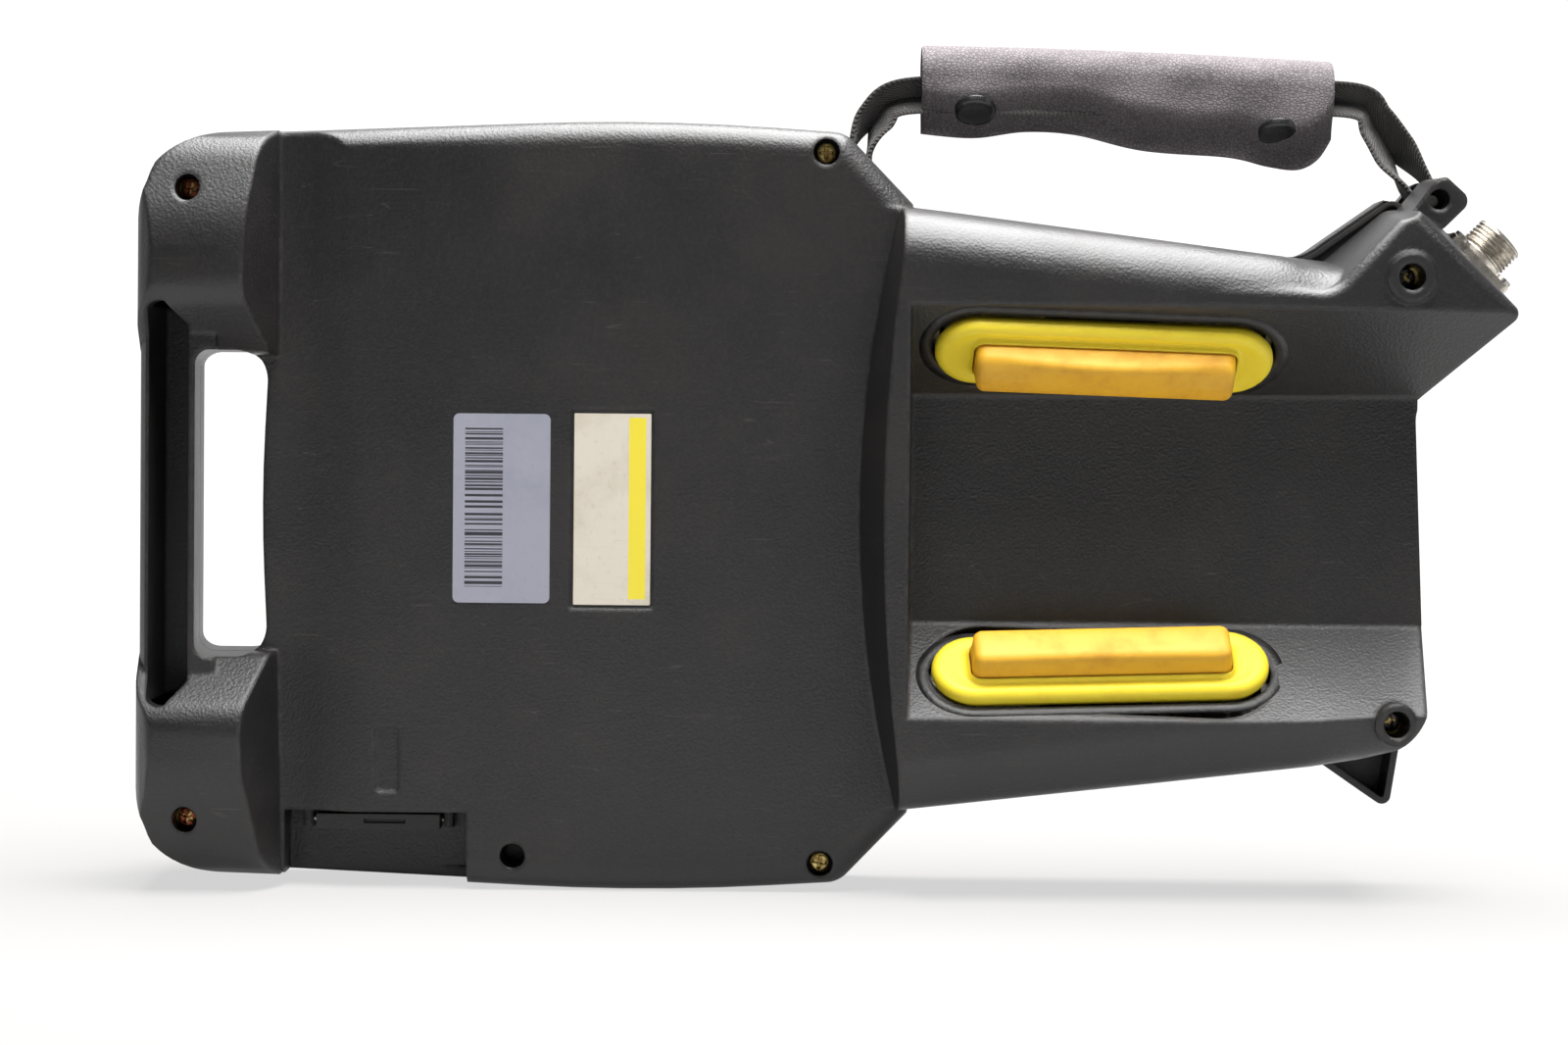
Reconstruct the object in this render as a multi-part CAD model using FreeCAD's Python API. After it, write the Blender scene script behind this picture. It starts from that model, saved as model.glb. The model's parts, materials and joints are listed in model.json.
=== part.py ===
import FreeCAD, Part
import math
import os

# Teach pendant, standing on its long lower edge, rear side towards -Y.
# X runs from the carrying handle to the cable socket, Z is up, and the
# parting plane of the two housing halves is y = 0.  Millimetres throughout.

Vector = FreeCAD.Vector
X_AXIS = Vector(1, 0, 0)
Y_AXIS = Vector(0, 1, 0)

# ---- driving dimensions ------------------------------------------------
MID_Z = 101.95           # height of the pendant's long centre line
LEFT_X = -185.2          # outer face of the handle bar
WALL = 2.8               # moulded wall thickness
SEAM = 0.4               # half the joint between the two housing halves

PANEL_Y = -22.0          # flat rear panel
STRIP_Y = -18.0          # lower strip between the lobes and the panel
CREST_Y = -40.0          # crest of the two grip rails
LOBE_Y = -41.5           # crown of the two lobes
BAR_Y = -30.0            # rear face of the handle bar
VALLEY_Y = -14.0         # floor of the hand valley
FRONT_Y = 20.0           # front face with screen and keys

STRIP_X = -143.9         # foot of the lobes
PANEL_X = -125.7         # where the flat panel begins
STRIP_END_X = -135.2
VALLEY_X = 21.3          # inner end of the hand valley
VALLEY_HALF = 30.3       # half width of the valley floor
CREST_HALF = 54.0        # half distance between the rail crests

PANEL_SCREW_Y = -14.0    # seat of the screws in the flat panel
DEEP_SCREW_Y = -27.0     # seat of the screws in lobes and rails
SCREW_HOLE_R = 3.5
SCREW_HEAD_R = 2.75
SCREW_SHANK_R = 1.5

BOOT_LENGTH = 89.0       # yellow boot round each enabling bar
BOOT_WIDTH = 28.4
BOOT_PROUD = 2.5
BOOT_GAP = 0.9
BAR_LENGTH = 71.0        # enabling bar
BAR_WIDTH = 11.0
BAR_PROUD = 9.3
BAR_TRAVEL = 4.0
BAR_TILT = 2.5           # degrees, the bars close in towards the socket end
BAR_X = 71.1

CONTROL_X = -162.5       # both control axes, one in each lobe
ESTOP_H = -64.0          # emergency stop, in the lower lobe
SELECTOR_H = 64.0        # rotary selector, in the upper lobe
BLOCK_HALF = 11.6        # half width of their contact blocks

SOCKET_FACE_X = 172.8    # cable receptacle on the slanted corner face
SOCKET_FACE_H = 65.6
SOCKET_Y = -11.5
SOCKET_ANGLE = 44.2      # degrees above +X
SOCKET_R = 7.0
SOCKET_REACH = 10.5

LUG_X = 159.9            # strap lug
LUG_H = 82.2
LUG_SIDE = 12.4
LUG_BORE_R = 2.75

LUG_SEAT_Y = -14.0       # bottom of the lug's counterbore
PIN_R = 1.6              # strap pins

USB_LEFT_X = -143.2      # recess for the plug-in port, open downwards
USB_RIGHT_X = -95.8
USB_TOP_Z = 20.5
USB_FLOOR_Y = -5.0
USB_HINGE_Y = -8.4
USB_HINGE_Z = 17.4
USB_FLAP_LEFT = -136.2
USB_FLAP_RIGHT = -103.4
USB_FLAP_REACH = 8.2
USB_PIN_R = 0.75

WEB_WIDTH = 12.0         # strap webbing
WEB_THICK = 1.8
WEB_Y = 6.4              # middle of the webbing and of its pad
LEFT_PIN = (7.0, 90.6)   # strap pins, x and height from the centre line
RIGHT_PIN = (LUG_X, LUG_H)
PAD_LEFT = 24.5          # ends of the strap pad
PAD_RIGHT = 135.5
PAD_THICK = 1.8
WEB_UPPER_H = 112.4      # the two runs of webbing inside the pad
WEB_LOWER_H = 109.4

BOARD_Y = -9.0           # rear face of the main board
BOARD_THICK = 1.6
BOARD_POST_X = (-112.0, -14.0)
WINDOW = [(-130.0, 72.0, 3), (-25.0, 72.0, 3), (-25.0, -72.0, 3), (-130.0, -72.0, 3)]
KEYSHEET = [(-19.0, 71.0, 5), (20.0, 71.0, 8), (148.0, 57.5, 5), (148.0, -57.5, 5),
            (20.0, -71.0, 8), (-19.0, -71.0, 5)]
SHEET_THICK = 0.8
SHEET_RECESS = 1.0

# Outlines are lists of (x, height from the centre line, corner radius).
CASE = [(LEFT_X, 96.6, 26), (-48, 102.8, 600), (3.0, 99.6, 8), (21.0, 80.9, 5),
        (129.5, 68.3, 14), (150.6, 88.6, 4), (185.6, 53.6, 2.5), (157.6, 29.0, 12),
        (157.2, -60.6, 12), (127.0, -69.0, 40), (21.0, -80.9, 5), (3.0, -99.6, 8),
        (-48, -102.8, 600), (LEFT_X, -96.6, 26)]
BODY = [(LEFT_X, 96.6, 26), (-48, 102.8, 600), (3.0, 99.6, 8), (21.0, 80.9, 0),
        (21.0, -80.9, 0), (3.0, -99.6, 8), (-48, -102.8, 600), (LEFT_X, -96.6, 26)]
GAP = [(-165.5, 40.4, 4), (-146.6, 40.4, 8), (-149.2, 0, 300), (-146.6, -40.4, 8),
       (-165.5, -40.4, 4)]
CHANNEL = [(-177.7, 52.9, 2.2), (-174.0, 52.9, 2.0), (-167.7, 46.8, 1.2),
           (-167.7, -46.8, 1.2), (-174.0, -52.9, 2.0), (-177.7, -52.9, 2.2)]
CORNER_BLOCK = [(100.0, 45.0, 0), (100.0, 60.0, 0), (128.0, 60.5, 12), (150.0, 84.6, 4),
                (185.6, 53.6, 2.5), (157.6, 29.0, 0), (140.0, 31.0, 0)]
LOBE_POCKET = [(-180.0, 51.6, 2), (-150.6, 51.6, 2), (-150.6, 83.0, 2), (-180.0, 83.0, 8)]
FIN = [(131.0, -66.5, 0), (153.2, -80.6, 2.5), (156.6, -60.0, 1)]
SCREWS = [(-169.2, 82.4, DEEP_SCREW_Y), (-169.2, -82.4, DEEP_SCREW_Y),
          (-2.1, 94.2, PANEL_SCREW_Y), (-2.1, -94.2, PANEL_SCREW_Y),
          (151.5, 62.6, DEEP_SCREW_Y), (147.9, -55.4, DEEP_SCREW_Y)]
SPARE_HOLE = (-83.6, -92.8)


# ---- small drawing helpers ---------------------------------------------
def rounded_wire(points, place):
    """Closed wire with rounded corners; place maps (a, b) to a Vector."""
    edges = []
    flat = [FreeCAD.Vector(a, b, 0) for a, b, r in points]
    ends = []
    for i, (a, b, radius) in enumerate(points):
        here = flat[i]
        back = (flat[i - 1] - here).normalize()
        ahead = (flat[(i + 1) % len(flat)] - here).normalize()
        if radius <= 0:
            ends.append((here, here, here))
            continue
        half = back.getAngle(ahead) / 2
        reach = radius / math.tan(half)
        inward = (back + ahead).normalize()
        centre = here + inward * (radius / math.sin(half))
        ends.append((here + back * reach, centre - inward * radius, here + ahead * reach))
    for i, (first, middle, last) in enumerate(ends):
        if (last - first).Length > 1e-6:
            edges.append(Part.Arc(place(first), place(middle), place(last)).toShape())
        start = ends[(i + 1) % len(ends)][0]
        if (start - last).Length > 1e-6:
            edges.append(Part.LineSegment(place(last), place(start)).toShape())
    return Part.Wire(edges)


def in_xz(y):
    """Placement of an outline in the plane of the rear panel, at depth y."""
    return lambda p: Vector(p.x, y, MID_Z + p.y)


def in_yz(x):
    """Placement of a section across the pendant, at length x."""
    return lambda p: Vector(x, p.x, MID_Z + p.y)


def slab(points, y0, y1):
    """Outline in XZ pushed from y0 to y1."""
    face = Part.Face(rounded_wire(points, in_xz(y0)))
    return face.extrude(Vector(0, y1 - y0, 0))


def across(points, x0, x1):
    """Section in (y, height) pushed along X from x0 to x1."""
    face = Part.Face(rounded_wire(points, in_yz(x0)))
    return face.extrude(Vector(x1 - x0, 0, 0))


def upright(points, z0, z1):
    """Section in (x, y) pushed upwards from z0 to z1."""
    face = Part.Face(rounded_wire(points, lambda p: Vector(p.x, p.y, z0)))
    return face.extrude(Vector(0, 0, z1 - z0))


def loft(wires):
    """Ruled solid through matching closed wires."""
    return Part.makeLoft(wires, True, True)


def box(x0, x1, y0, y1, z0, z1):
    """Box between two opposite corners."""
    return Part.makeBox(x1 - x0, y1 - y0, z1 - z0, Vector(x0, y0, z0))


def rod(radius, x, h, y0, y1):
    """Round bar along Y at (x, height from the centre line)."""
    return Part.makeCylinder(radius, y1 - y0, Vector(x, y0, MID_Z + h), Y_AXIS)


def inset(points, amount):
    """Outline moved inwards all round."""
    wire = rounded_wire(points, in_xz(0))
    return wire.makeOffset2D(-amount, 0, False, False)


def inset_slab(points, amount, y0, y1):
    """Inset outline pushed from y0 to y1."""
    face = Part.Face(inset(points, amount))
    face.translate(Vector(0, y0, 0))
    return face.extrude(Vector(0, y1 - y0, 0))


def soften(shape, radius, wanted):
    """Fillet the edges whose middle point satisfies wanted."""
    edges = []
    for edge in shape.Edges:
        middle = edge.valueAt((edge.FirstParameter + edge.LastParameter) / 2)
        if wanted(middle, edge):
            edges.append(edge)
    return shape.makeFillet(radius, edges)


def fuse_all(shapes):
    """One solid from overlapping solids."""
    first = shapes[0]
    return first.multiFuse(shapes[1:]).removeSplitter()


def mirrored(shape):
    """Copy on the other side of the long centre line."""
    return shape.mirror(Vector(0, 0, MID_Z), Vector(0, 0, 1))


def pill(length, width, low, high):
    """Upright block with round ends, centred on the local origin."""
    straight = length - width
    middle = Part.makeBox(straight, width, high - low, Vector(-straight / 2, -width / 2, low))
    ends = [Part.makeCylinder(width / 2, high - low, Vector(s * straight / 2, 0, low))
            for s in (-1, 1)]
    return fuse_all([middle] + ends)


def export(name, shape):
    """Write one sub-part."""
    shape.exportStep("parts/" + name + ".step")


# ---- rear cover ----------------------------------------------------------
def body_slab():
    """Flat rear panel with its rounded shoulder and the lower strip."""
    slab_shape = slab(BODY, -SEAM, PANEL_Y)
    slab_shape = soften(slab_shape, 7.0, lambda m, e: m.y < PANEL_Y + 0.1 and m.x < 20.9)
    strip = upright([(PANEL_X, PANEL_Y, 0), (STRIP_END_X, STRIP_Y, 0), (-190, STRIP_Y, 0),
                     (-190, PANEL_Y - 2, 0), (PANEL_X, PANEL_Y - 2, 0)], -10, 220)
    return slab_shape.cut(strip)


def lobe():
    """Upper lobe: a barrel section cut by the case outline and a slanted inner face."""
    barrel = across([(-SEAM, 38, 0), (-24, 39.5, 5), (LOBE_Y, 55, 12), (LOBE_Y + 1.5, 74, 40),
                     (-31, 95, 14), (-12, 101, 6), (-SEAM, 101, 0)], -190, STRIP_X)
    plan = upright([(LEFT_X, -SEAM, 0), (LEFT_X, LOBE_Y, 11), (-152.0, LOBE_Y, 0.8),
                    (STRIP_X, -20.5, 0.6), (STRIP_X, -SEAM, 0)], -10, 220)
    return barrel.common(plan).common(slab(CASE, -SEAM, -50))


def handle_bar():
    """Bar that joins the lobes, open channel on its rear side."""
    plan = upright([(LEFT_X, -SEAM, 0), (LEFT_X, BAR_Y, 7), (-160.0, BAR_Y, 0),
                    (-160.0, -SEAM, 0)], MID_Z - 56, MID_Z + 56)
    return plan


def rail_section(half):
    """D-shaped section across the grip, crest edges well rounded."""
    return [(-SEAM, half, 0), (CREST_Y, half - 3, 15), (CREST_Y, -half + 3, 15),
            (-SEAM, -half, 0)]


def grip_block():
    """Raised grip: a tapering D section, stepped up from the panel on an arc."""
    near = rounded_wire(rail_section(82.9), in_yz(3.0))
    far = rounded_wire(rail_section(65.4), in_yz(158.0))
    block = loft([near, far])
    corner = slab(CORNER_BLOCK, -SEAM, CREST_Y)
    corner = soften(corner, 3.0, lambda m, e: m.y < CREST_Y + 0.1 and m.z > MID_Z + 60.2)
    block = fuse_all([block, corner]).common(slab(CASE, -SEAM, -50))
    return block.cut(arc_step())


def arc_step():
    """Space left of the curved step between panel and grip."""
    def region(mid_x, end_x, y):
        top = Vector(end_x, y, MID_Z + 86)
        low = Vector(end_x, y, MID_Z - 86)
        arc = Part.Arc(top, Vector(mid_x, y, MID_Z), low).toShape()
        far_low = Vector(-20, y, MID_Z - 86)
        far_top = Vector(-20, y, MID_Z + 86)
        return Part.Wire([arc, Part.makeLine(low, far_low), Part.makeLine(far_low, far_top),
                          Part.makeLine(far_top, top)])
    return loft([region(7.4, 19.5, PANEL_Y), region(15.0, 21.0, CREST_Y - 4)])


def hand_valley():
    """Trough between the rails, open at the socket end."""
    slope = (CREST_HALF - VALLEY_HALF) / (VALLEY_Y - CREST_Y)
    top_y = CREST_Y - 6
    top_half = VALLEY_HALF + slope * (VALLEY_Y - top_y)
    trough = across([(VALLEY_Y, VALLEY_HALF, 1.5), (top_y, top_half, 0),
                     (top_y, -top_half, 0), (VALLEY_Y, -VALLEY_HALF, 1.5)], 15.0, 200)
    end_wall = upright([(VALLEY_X, VALLEY_Y + 1, 0), (VALLEY_X - 1.6, CREST_Y - 6, 0),
                        (200, CREST_Y - 6, 0), (200, VALLEY_Y + 1, 0)], 0, 220)
    return trough.common(end_wall)


def screw_bosses():
    """Raised rings round the two screws at the socket end."""
    upper = rod(6.7, 151.5, 62.6, CREST_Y - 1.6, -SEAM)
    lower = rod(5.6, 147.9, -55.4, CREST_Y - 1.6, -SEAM)
    return [upper, lower]


def strap_lug():
    """Rounded block that stands off the slanted corner."""
    half = LUG_SIDE / 2
    block = Part.makeBox(LUG_SIDE, 30.0, LUG_SIDE, Vector(-half, 0, -half))
    block = soften(block, 3.0, lambda m, e: abs(m.x) > half - 0.1 and abs(m.z) > half - 0.1)
    block.rotate(Vector(0, 0, 0), Y_AXIS, 45.6)
    block.translate(Vector(LUG_X, -26.0, MID_Z + LUG_H))
    return block.common(box(100, 200, -50, -SEAM, 0, 260))


def socket_axis():
    """Unit vector out of the cable receptacle."""
    angle = math.radians(SOCKET_ANGLE)
    return Vector(math.cos(angle), 0, math.sin(angle))


def socket_point(out):
    """Point on the receptacle's axis, out millimetres off the corner face."""
    return Vector(SOCKET_FACE_X, SOCKET_Y, MID_Z + SOCKET_FACE_H) + socket_axis() * out


def socket_rod(radius, low, high):
    """Round bar on the receptacle's axis."""
    return Part.makeCylinder(radius, high - low, socket_point(low), socket_axis())


def socket_plate(side, low, high, radius):
    """Square plate with rounded corners across the receptacle's axis."""
    plate = Part.makeBox(side, side, high - low, Vector(-side / 2, -side / 2, low))
    plate = soften(plate, radius, lambda m, e: abs(abs(m.x) - side / 2) < 0.01
                   and abs(abs(m.y) - side / 2) < 0.01)
    plate.rotate(Vector(0, 0, 0), Y_AXIS, 90 - SOCKET_ANGLE)
    plate.translate(socket_point(0))
    return plate


def slope_frame(side):
    """Placement whose local Z points out of a rail's inner slope, local X along the bar."""
    run = CREST_HALF - VALLEY_HALF
    rise = VALLEY_Y - CREST_Y
    length = math.hypot(run, rise)
    up = Vector(0, -rise / length, side * run / length)
    out = Vector(0, -run / length, -side * rise / length)
    along = up.cross(out)
    tilt = math.radians(BAR_TILT)
    turned = along * math.cos(tilt) + up * (-math.sin(tilt))
    across_bar = out.cross(turned)
    origin = Vector(BAR_X, (VALLEY_Y + CREST_Y) / 2, MID_Z + side * (VALLEY_HALF + CREST_HALF) / 2)
    matrix = FreeCAD.Matrix(turned.x, across_bar.x, out.x, origin.x,
                            turned.y, across_bar.y, out.y, origin.y,
                            turned.z, across_bar.z, out.z, origin.z, 0, 0, 0, 1)
    return FreeCAD.Placement(matrix)


def on_slope(shape, side):
    """Carry a shape from local coordinates onto one rail's slope."""
    placed = shape.copy()
    placed.Placement = slope_frame(side).multiply(placed.Placement)
    return placed


def boot_pocket():
    """Room for the boot through the slope, and for its flange behind the wall."""
    opening = pill(BOOT_LENGTH + 2 * BOOT_GAP, BOOT_WIDTH + 2 * BOOT_GAP, -8, 12)
    behind = pill(BOOT_LENGTH + 5.0, BOOT_WIDTH + 3.6, -6.2, -3.0)
    return opening.fuse(behind)


def body_cavity():
    """Room for the electronics behind the flat panel, and the lobes' pockets."""
    main = inset_slab(BODY, WALL, 1.0, PANEL_Y + WALL)
    keep = box(-142.6, 30, -60, 5, -10, 220)
    main = main.common(keep)
    strip = upright([(-115, PANEL_Y + WALL, 0), (-134, STRIP_Y + WALL, 0), (-150, STRIP_Y + WALL, 0),
                     (-150, PANEL_Y, 0), (-115, PANEL_Y, 0)], -10, 220)
    return main.cut(strip)


def lobe_pocket():
    """Pocket in the upper lobe for the body of the control it carries."""
    return slab(LOBE_POCKET, 1.0, -31.5)


def link_pocket():
    """Passage for the wires from the lobe pocket to the main cavity."""
    return box(-156, -142, STRIP_Y + WALL, 1.0, MID_Z + 52, MID_Z + 84)


def rail_cavity():
    """Hollow inside the upper rail and under half of the valley floor."""
    def section(x, outer):
        return Part.makePolygon([Vector(x, y, MID_Z + h) for y, h in
                                 [(1.0, -1.0), (VALLEY_Y + WALL, -1.0), (VALLEY_Y + WALL, 33.0),
                                  (-35.4, 54.6), (-36.6, 57.5), (-34.5, outer - 9),
                                  (-22.0, outer), (1.0, outer), (1.0, -1.0)]])
    return loft([section(24.0, 75.5), section(141.0, 62.0)])


def usb_recess():
    """Recess for the plug-in port, open to the rear and downwards."""
    return box(USB_LEFT_X, USB_RIGHT_X, -30, USB_FLOOR_Y, -2, USB_TOP_Z)


def usb_housing():
    """Walls round the port recess."""
    return box(USB_LEFT_X - WALL, USB_RIGHT_X + WALL, STRIP_Y, -SEAM, 4.5, USB_TOP_Z + WALL)


def screw_posts():
    """Solid posts the cover screws run through."""
    posts = []
    for x, h, seat in SCREWS:
        posts.append(rod(SCREW_HOLE_R + 2.2, x, h, seat - 6, -SEAM))
    posts.append(rod(SCREW_HOLE_R + 2.2, SPARE_HOLE[0], SPARE_HOLE[1], PANEL_Y + 2, -SEAM))
    return posts


def screw_bores():
    """Counterbores and shank holes, and the spare hole."""
    bores = []
    for x, h, seat in SCREWS:
        bores.append(rod(SCREW_HOLE_R, x, h, -60, seat))
        bores.append(rod(SCREW_SHANK_R + 0.1, x, h, seat - 1, 2))
    bores.append(rod(SCREW_HOLE_R - 0.15, SPARE_HOLE[0], SPARE_HOLE[1], -60, -6))
    return bores


def board_posts():
    """Four posts that carry the main board."""
    return [rod(3.2, x, h, PANEL_Y + 2, BOARD_Y) for x in BOARD_POST_X for h in (-58, 58)]


def usb_ears():
    """Two ears that hold the hinge pin of the port cover."""
    ears = []
    for x in (USB_FLAP_LEFT - 3.0, USB_FLAP_RIGHT + 0.6):
        ears.append(box(x, x + 2.4, USB_HINGE_Y - 2.2, USB_FLOOR_Y + 0.5, USB_HINGE_Z - 2.2,
                        USB_TOP_Z + 0.5))
    return ears


def usb_pin_line(radius):
    """Round bar on the port cover's hinge axis."""
    length = USB_FLAP_RIGHT - USB_FLAP_LEFT + 5.0
    start = Vector(USB_FLAP_LEFT - 2.5, USB_HINGE_Y, USB_HINGE_Z)
    return Part.makeCylinder(radius, length, start, X_AXIS)


def rear_cover():
    """The whole moulded rear half."""
    outside = [body_slab(), lobe(), mirrored(lobe()), handle_bar(), grip_block()]
    outside = fuse_all(outside).common(slab(CASE, -SEAM, -50))
    outside = outside.cut(hand_valley())
    hollow = [body_cavity(), lobe_pocket(), mirrored(lobe_pocket()), link_pocket(),
              mirrored(link_pocket()), rail_cavity(), mirrored(rail_cavity())]
    shell = outside.cut(fuse_all(hollow))
    posts = fuse_all(screw_posts() + [usb_housing()]).common(outside)
    shell = fuse_all([shell, posts] + screw_bosses() + [strap_lug()])
    cuts = [slab(GAP, 1, -60), slab(CHANNEL, -6, -60), usb_recess()] + screw_bores()
    cuts += [on_slope(boot_pocket(), 1), on_slope(boot_pocket(), -1)]
    cuts += [socket_plate(21.6, -1.6, 12, 2.2), socket_rod(8.2, -12, 1)]
    cuts.append(rod(LUG_BORE_R, LUG_X, LUG_H, -27, LUG_SEAT_Y))
    cuts.append(rod(PIN_R, LUG_X, LUG_H, LUG_SEAT_Y - 1, 1))
    cuts.append(box(-126.9, -113.2, -14.9, -8.7, 20, 24))
    cuts.append(slab([(-118.7, -59.0, 1.2), (-112.9, -59.0, 1.2), (-112.9, -76.0, 1.2),
                      (-118.7, -76.0, 1.2)], PANEL_Y - 1, PANEL_Y + 0.5))
    cuts.append(box(-68.9, -46.9, PANEL_Y - 1, PANEL_Y + 0.5, 75.0, 127.6))
    shell = shell.cut(fuse_all(cuts))
    return fuse_all([shell] + board_posts() + usb_ears()).cut(usb_pin_line(USB_PIN_R))


# ---- front housing --------------------------------------------------------
def front_cavity():
    """Hollow of the front housing, tapering with the grip."""
    main = inset_slab(BODY, WALL, -1.0, FRONT_Y - WALL).common(box(-142.6, 30, -5, 30, -10, 220))
    grip = slab([(10, 77.6, 0), (128, 65.0, 6), (150.5, 57.5, 3), (153.5, 27.0, 6),
                 (153.5, -57.0, 8), (127, -65.5, 6), (10, -77.6, 0)], -1.0, FRONT_Y - WALL)
    return main.fuse(grip)


def front_openings():
    """Window, key field, control holes and strap pockets."""
    cuts = [slab(WINDOW, FRONT_Y - 1.6, FRONT_Y + 1)]
    cuts.append(inset_slab(WINDOW, 4.0, 5, FRONT_Y + 1))
    cuts.append(slab(KEYSHEET, FRONT_Y - SHEET_RECESS, FRONT_Y + 1))
    cuts.append(inset_slab(KEYSHEET, 5.0, 5, FRONT_Y + 1))
    cuts.append(rod(8.1, CONTROL_X, ESTOP_H, -1, 30))
    cuts.append(rod(6.1, CONTROL_X, SELECTOR_H, -1, 30))
    cuts += [slab(LOBE_POCKET, -1.0, FRONT_Y - 3), mirrored(slab(LOBE_POCKET, -1.0, FRONT_Y - 3))]
    cuts += [box(-156, -142, -1, FRONT_Y - 3, MID_Z + s * 68 - 12, MID_Z + s * 68 + 12)
             for s in (-1, 1)]
    cuts.append(slab(GAP, -1, 30))
    cuts.append(slab([(3.6, 84.0, 1), (17.0, 84.0, 1), (17.0, 110.0, 0), (3.6, 110.0, 0)],
                     -1.0, WEB_Y + WEB_WIDTH / 2 + 0.4))
    cuts.append(slab([(148.0, 79.5, 1), (160.0, 70.0, 2), (175.0, 84.0, 0), (150.0, 110.0, 0)],
                     -1.0, WEB_Y + WEB_WIDTH / 2 + 0.4))
    cuts += [rod(PIN_R, x, h, -1, 17.0) for x, h in (LEFT_PIN, RIGHT_PIN)]
    for index in range(3):
        cuts.append(rod(1.5, -135.2, -20 + 20 * index, 10, 30))
    return fuse_all(cuts)


def front_posts():
    """Bosses that take the cover screws."""
    posts = [rod(4.1, x, h, SEAM, FRONT_Y - 1) for x, h, seat in SCREWS]
    return fuse_all(posts)


def strap_ear():
    """Front ear of the strap pin at the socket end."""
    half = LUG_SIDE / 2
    block = Part.makeBox(LUG_SIDE, 7.0, LUG_SIDE, Vector(-half, 0, -half))
    block = soften(block, 3.0, lambda m, e: abs(m.x) > half - 0.1 and abs(m.z) > half - 0.1)
    block.rotate(Vector(0, 0, 0), Y_AXIS, 45.6)
    block.translate(Vector(LUG_X, FRONT_Y - 7.0, MID_Z + LUG_H))
    return block


def hanging_fin():
    """Hollow three-cornered fin under the grip's end."""
    fin = slab(FIN, 3.0, FRONT_Y - 2)
    return fin.cut(inset_slab(FIN, 1.8, 2.0, FRONT_Y - 4))


def front_housing():
    """The whole moulded front half."""
    outside = slab(CASE, SEAM, FRONT_Y)
    outside = soften(outside, 2.2, lambda m, e: m.y > FRONT_Y - 0.1)
    shell = outside.cut(front_cavity())
    shell = fuse_all([shell, front_posts(), strap_ear(), hanging_fin()])
    shell = shell.cut(front_openings())
    screws = [rod(SCREW_SHANK_R, x, h, -1, FRONT_Y - 6) for x, h, seat in SCREWS]
    return shell.cut(fuse_all(screws))


def housing_gasket():
    """Flat seal in the joint, following the case outline."""
    outer = Part.Face(inset(CASE, 0.9))
    inner = Part.Face(inset(CASE, 2.3))
    ring = outer.cut(inner)
    ring.translate(Vector(0, -SEAM, 0))
    return ring.extrude(Vector(0, 2 * SEAM, 0))


# ---- screen, keys and boards ------------------------------------------------
def display_window():
    """Clear panel seated in the front face."""
    return slab(WINDOW, FRONT_Y - 1.6, FRONT_Y - 0.1)


def lcd_module():
    """Screen module behind the window, with its rear frame."""
    glass = inset_slab(WINDOW, 5.0, 12.0, FRONT_Y - 1.7)
    tray = inset_slab(WINDOW, 3.2, 7.0, 16.0)
    return tray.fuse(glass).removeSplitter()


def keysheet():
    """One-piece key membrane: a thin sheet with raised keys in rows."""
    sheet = slab(KEYSHEET, FRONT_Y - SHEET_RECESS, FRONT_Y - SHEET_RECESS + SHEET_THICK)
    keys = []
    for row in range(9):
        x = -9.5 + 17.6 * row
        half = 4 if x < 20 else 3
        for column in range(-half, half + 1):
            h = column * (15.8 - 0.1 * row)
            keys.append(box(x - 5.6, x + 5.6, FRONT_Y - 0.6, FRONT_Y + 0.9,
                            MID_Z + h - 5.8, MID_Z + h + 5.8))
    return fuse_all([sheet] + keys)


def keypad_board():
    """Board with the key contacts, behind the key field."""
    board = inset_slab(KEYSHEET, 2.0, 14.6, 16.2).common(box(-30, 142.5, 10, 20, 0, 220))
    chips = [box(x, x + 9, 12.6, 14.7, MID_Z + h, MID_Z + h + 12)
             for x in (10, 60, 110) for h in (-30, 14)]
    return fuse_all([board] + chips)


def main_board():
    """Main circuit board on its four posts, with its larger components."""
    y = BOARD_Y
    board = slab([(-118, 64, 3), (-8, 64, 3), (-8, -64, 3), (-118, -64, 3)], y, y + BOARD_THICK)
    parts = [box(-98, -72, y + 1, y + 4.2, MID_Z - 16, MID_Z + 10),
             box(-60, -44, y + 1, y + 3.8, MID_Z - 36, MID_Z - 20),
             box(-60, -40, y + 1, y + 3.8, MID_Z + 18, MID_Z + 38),
             box(-30, -20, y + 1, y + 9.0, MID_Z - 30, MID_Z + 30),
             box(-108, -100, y + 1, y + 7.0, MID_Z + 20, MID_Z + 52)]
    return fuse_all([board] + parts)


# ---- emergency stop ----------------------------------------------------------
def estop_collar():
    """Yellow ring under the mushroom head."""
    ring = rod(18.0, CONTROL_X, ESTOP_H, FRONT_Y, FRONT_Y + 2.4)
    ring = soften(ring, 1.2, lambda m, e: m.y > FRONT_Y + 2.3)
    return ring.cut(rod(8.1, CONTROL_X, ESTOP_H, 10, 30))


def contact_block(h, y0, y1):
    """Square contact block behind a control."""
    return box(CONTROL_X - BLOCK_HALF, CONTROL_X + BLOCK_HALF, y0, y1,
               MID_Z + h - BLOCK_HALF, MID_Z + h + BLOCK_HALF)


def estop_body():
    """Threaded barrel and contact block."""
    block = contact_block(ESTOP_H, -28, 6)
    barrel = rod(8.0, CONTROL_X, ESTOP_H, 5, FRONT_Y + 3.0)
    return block.fuse(barrel).removeSplitter().cut(rod(5.05, CONTROL_X, ESTOP_H, -12, 40))


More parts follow.
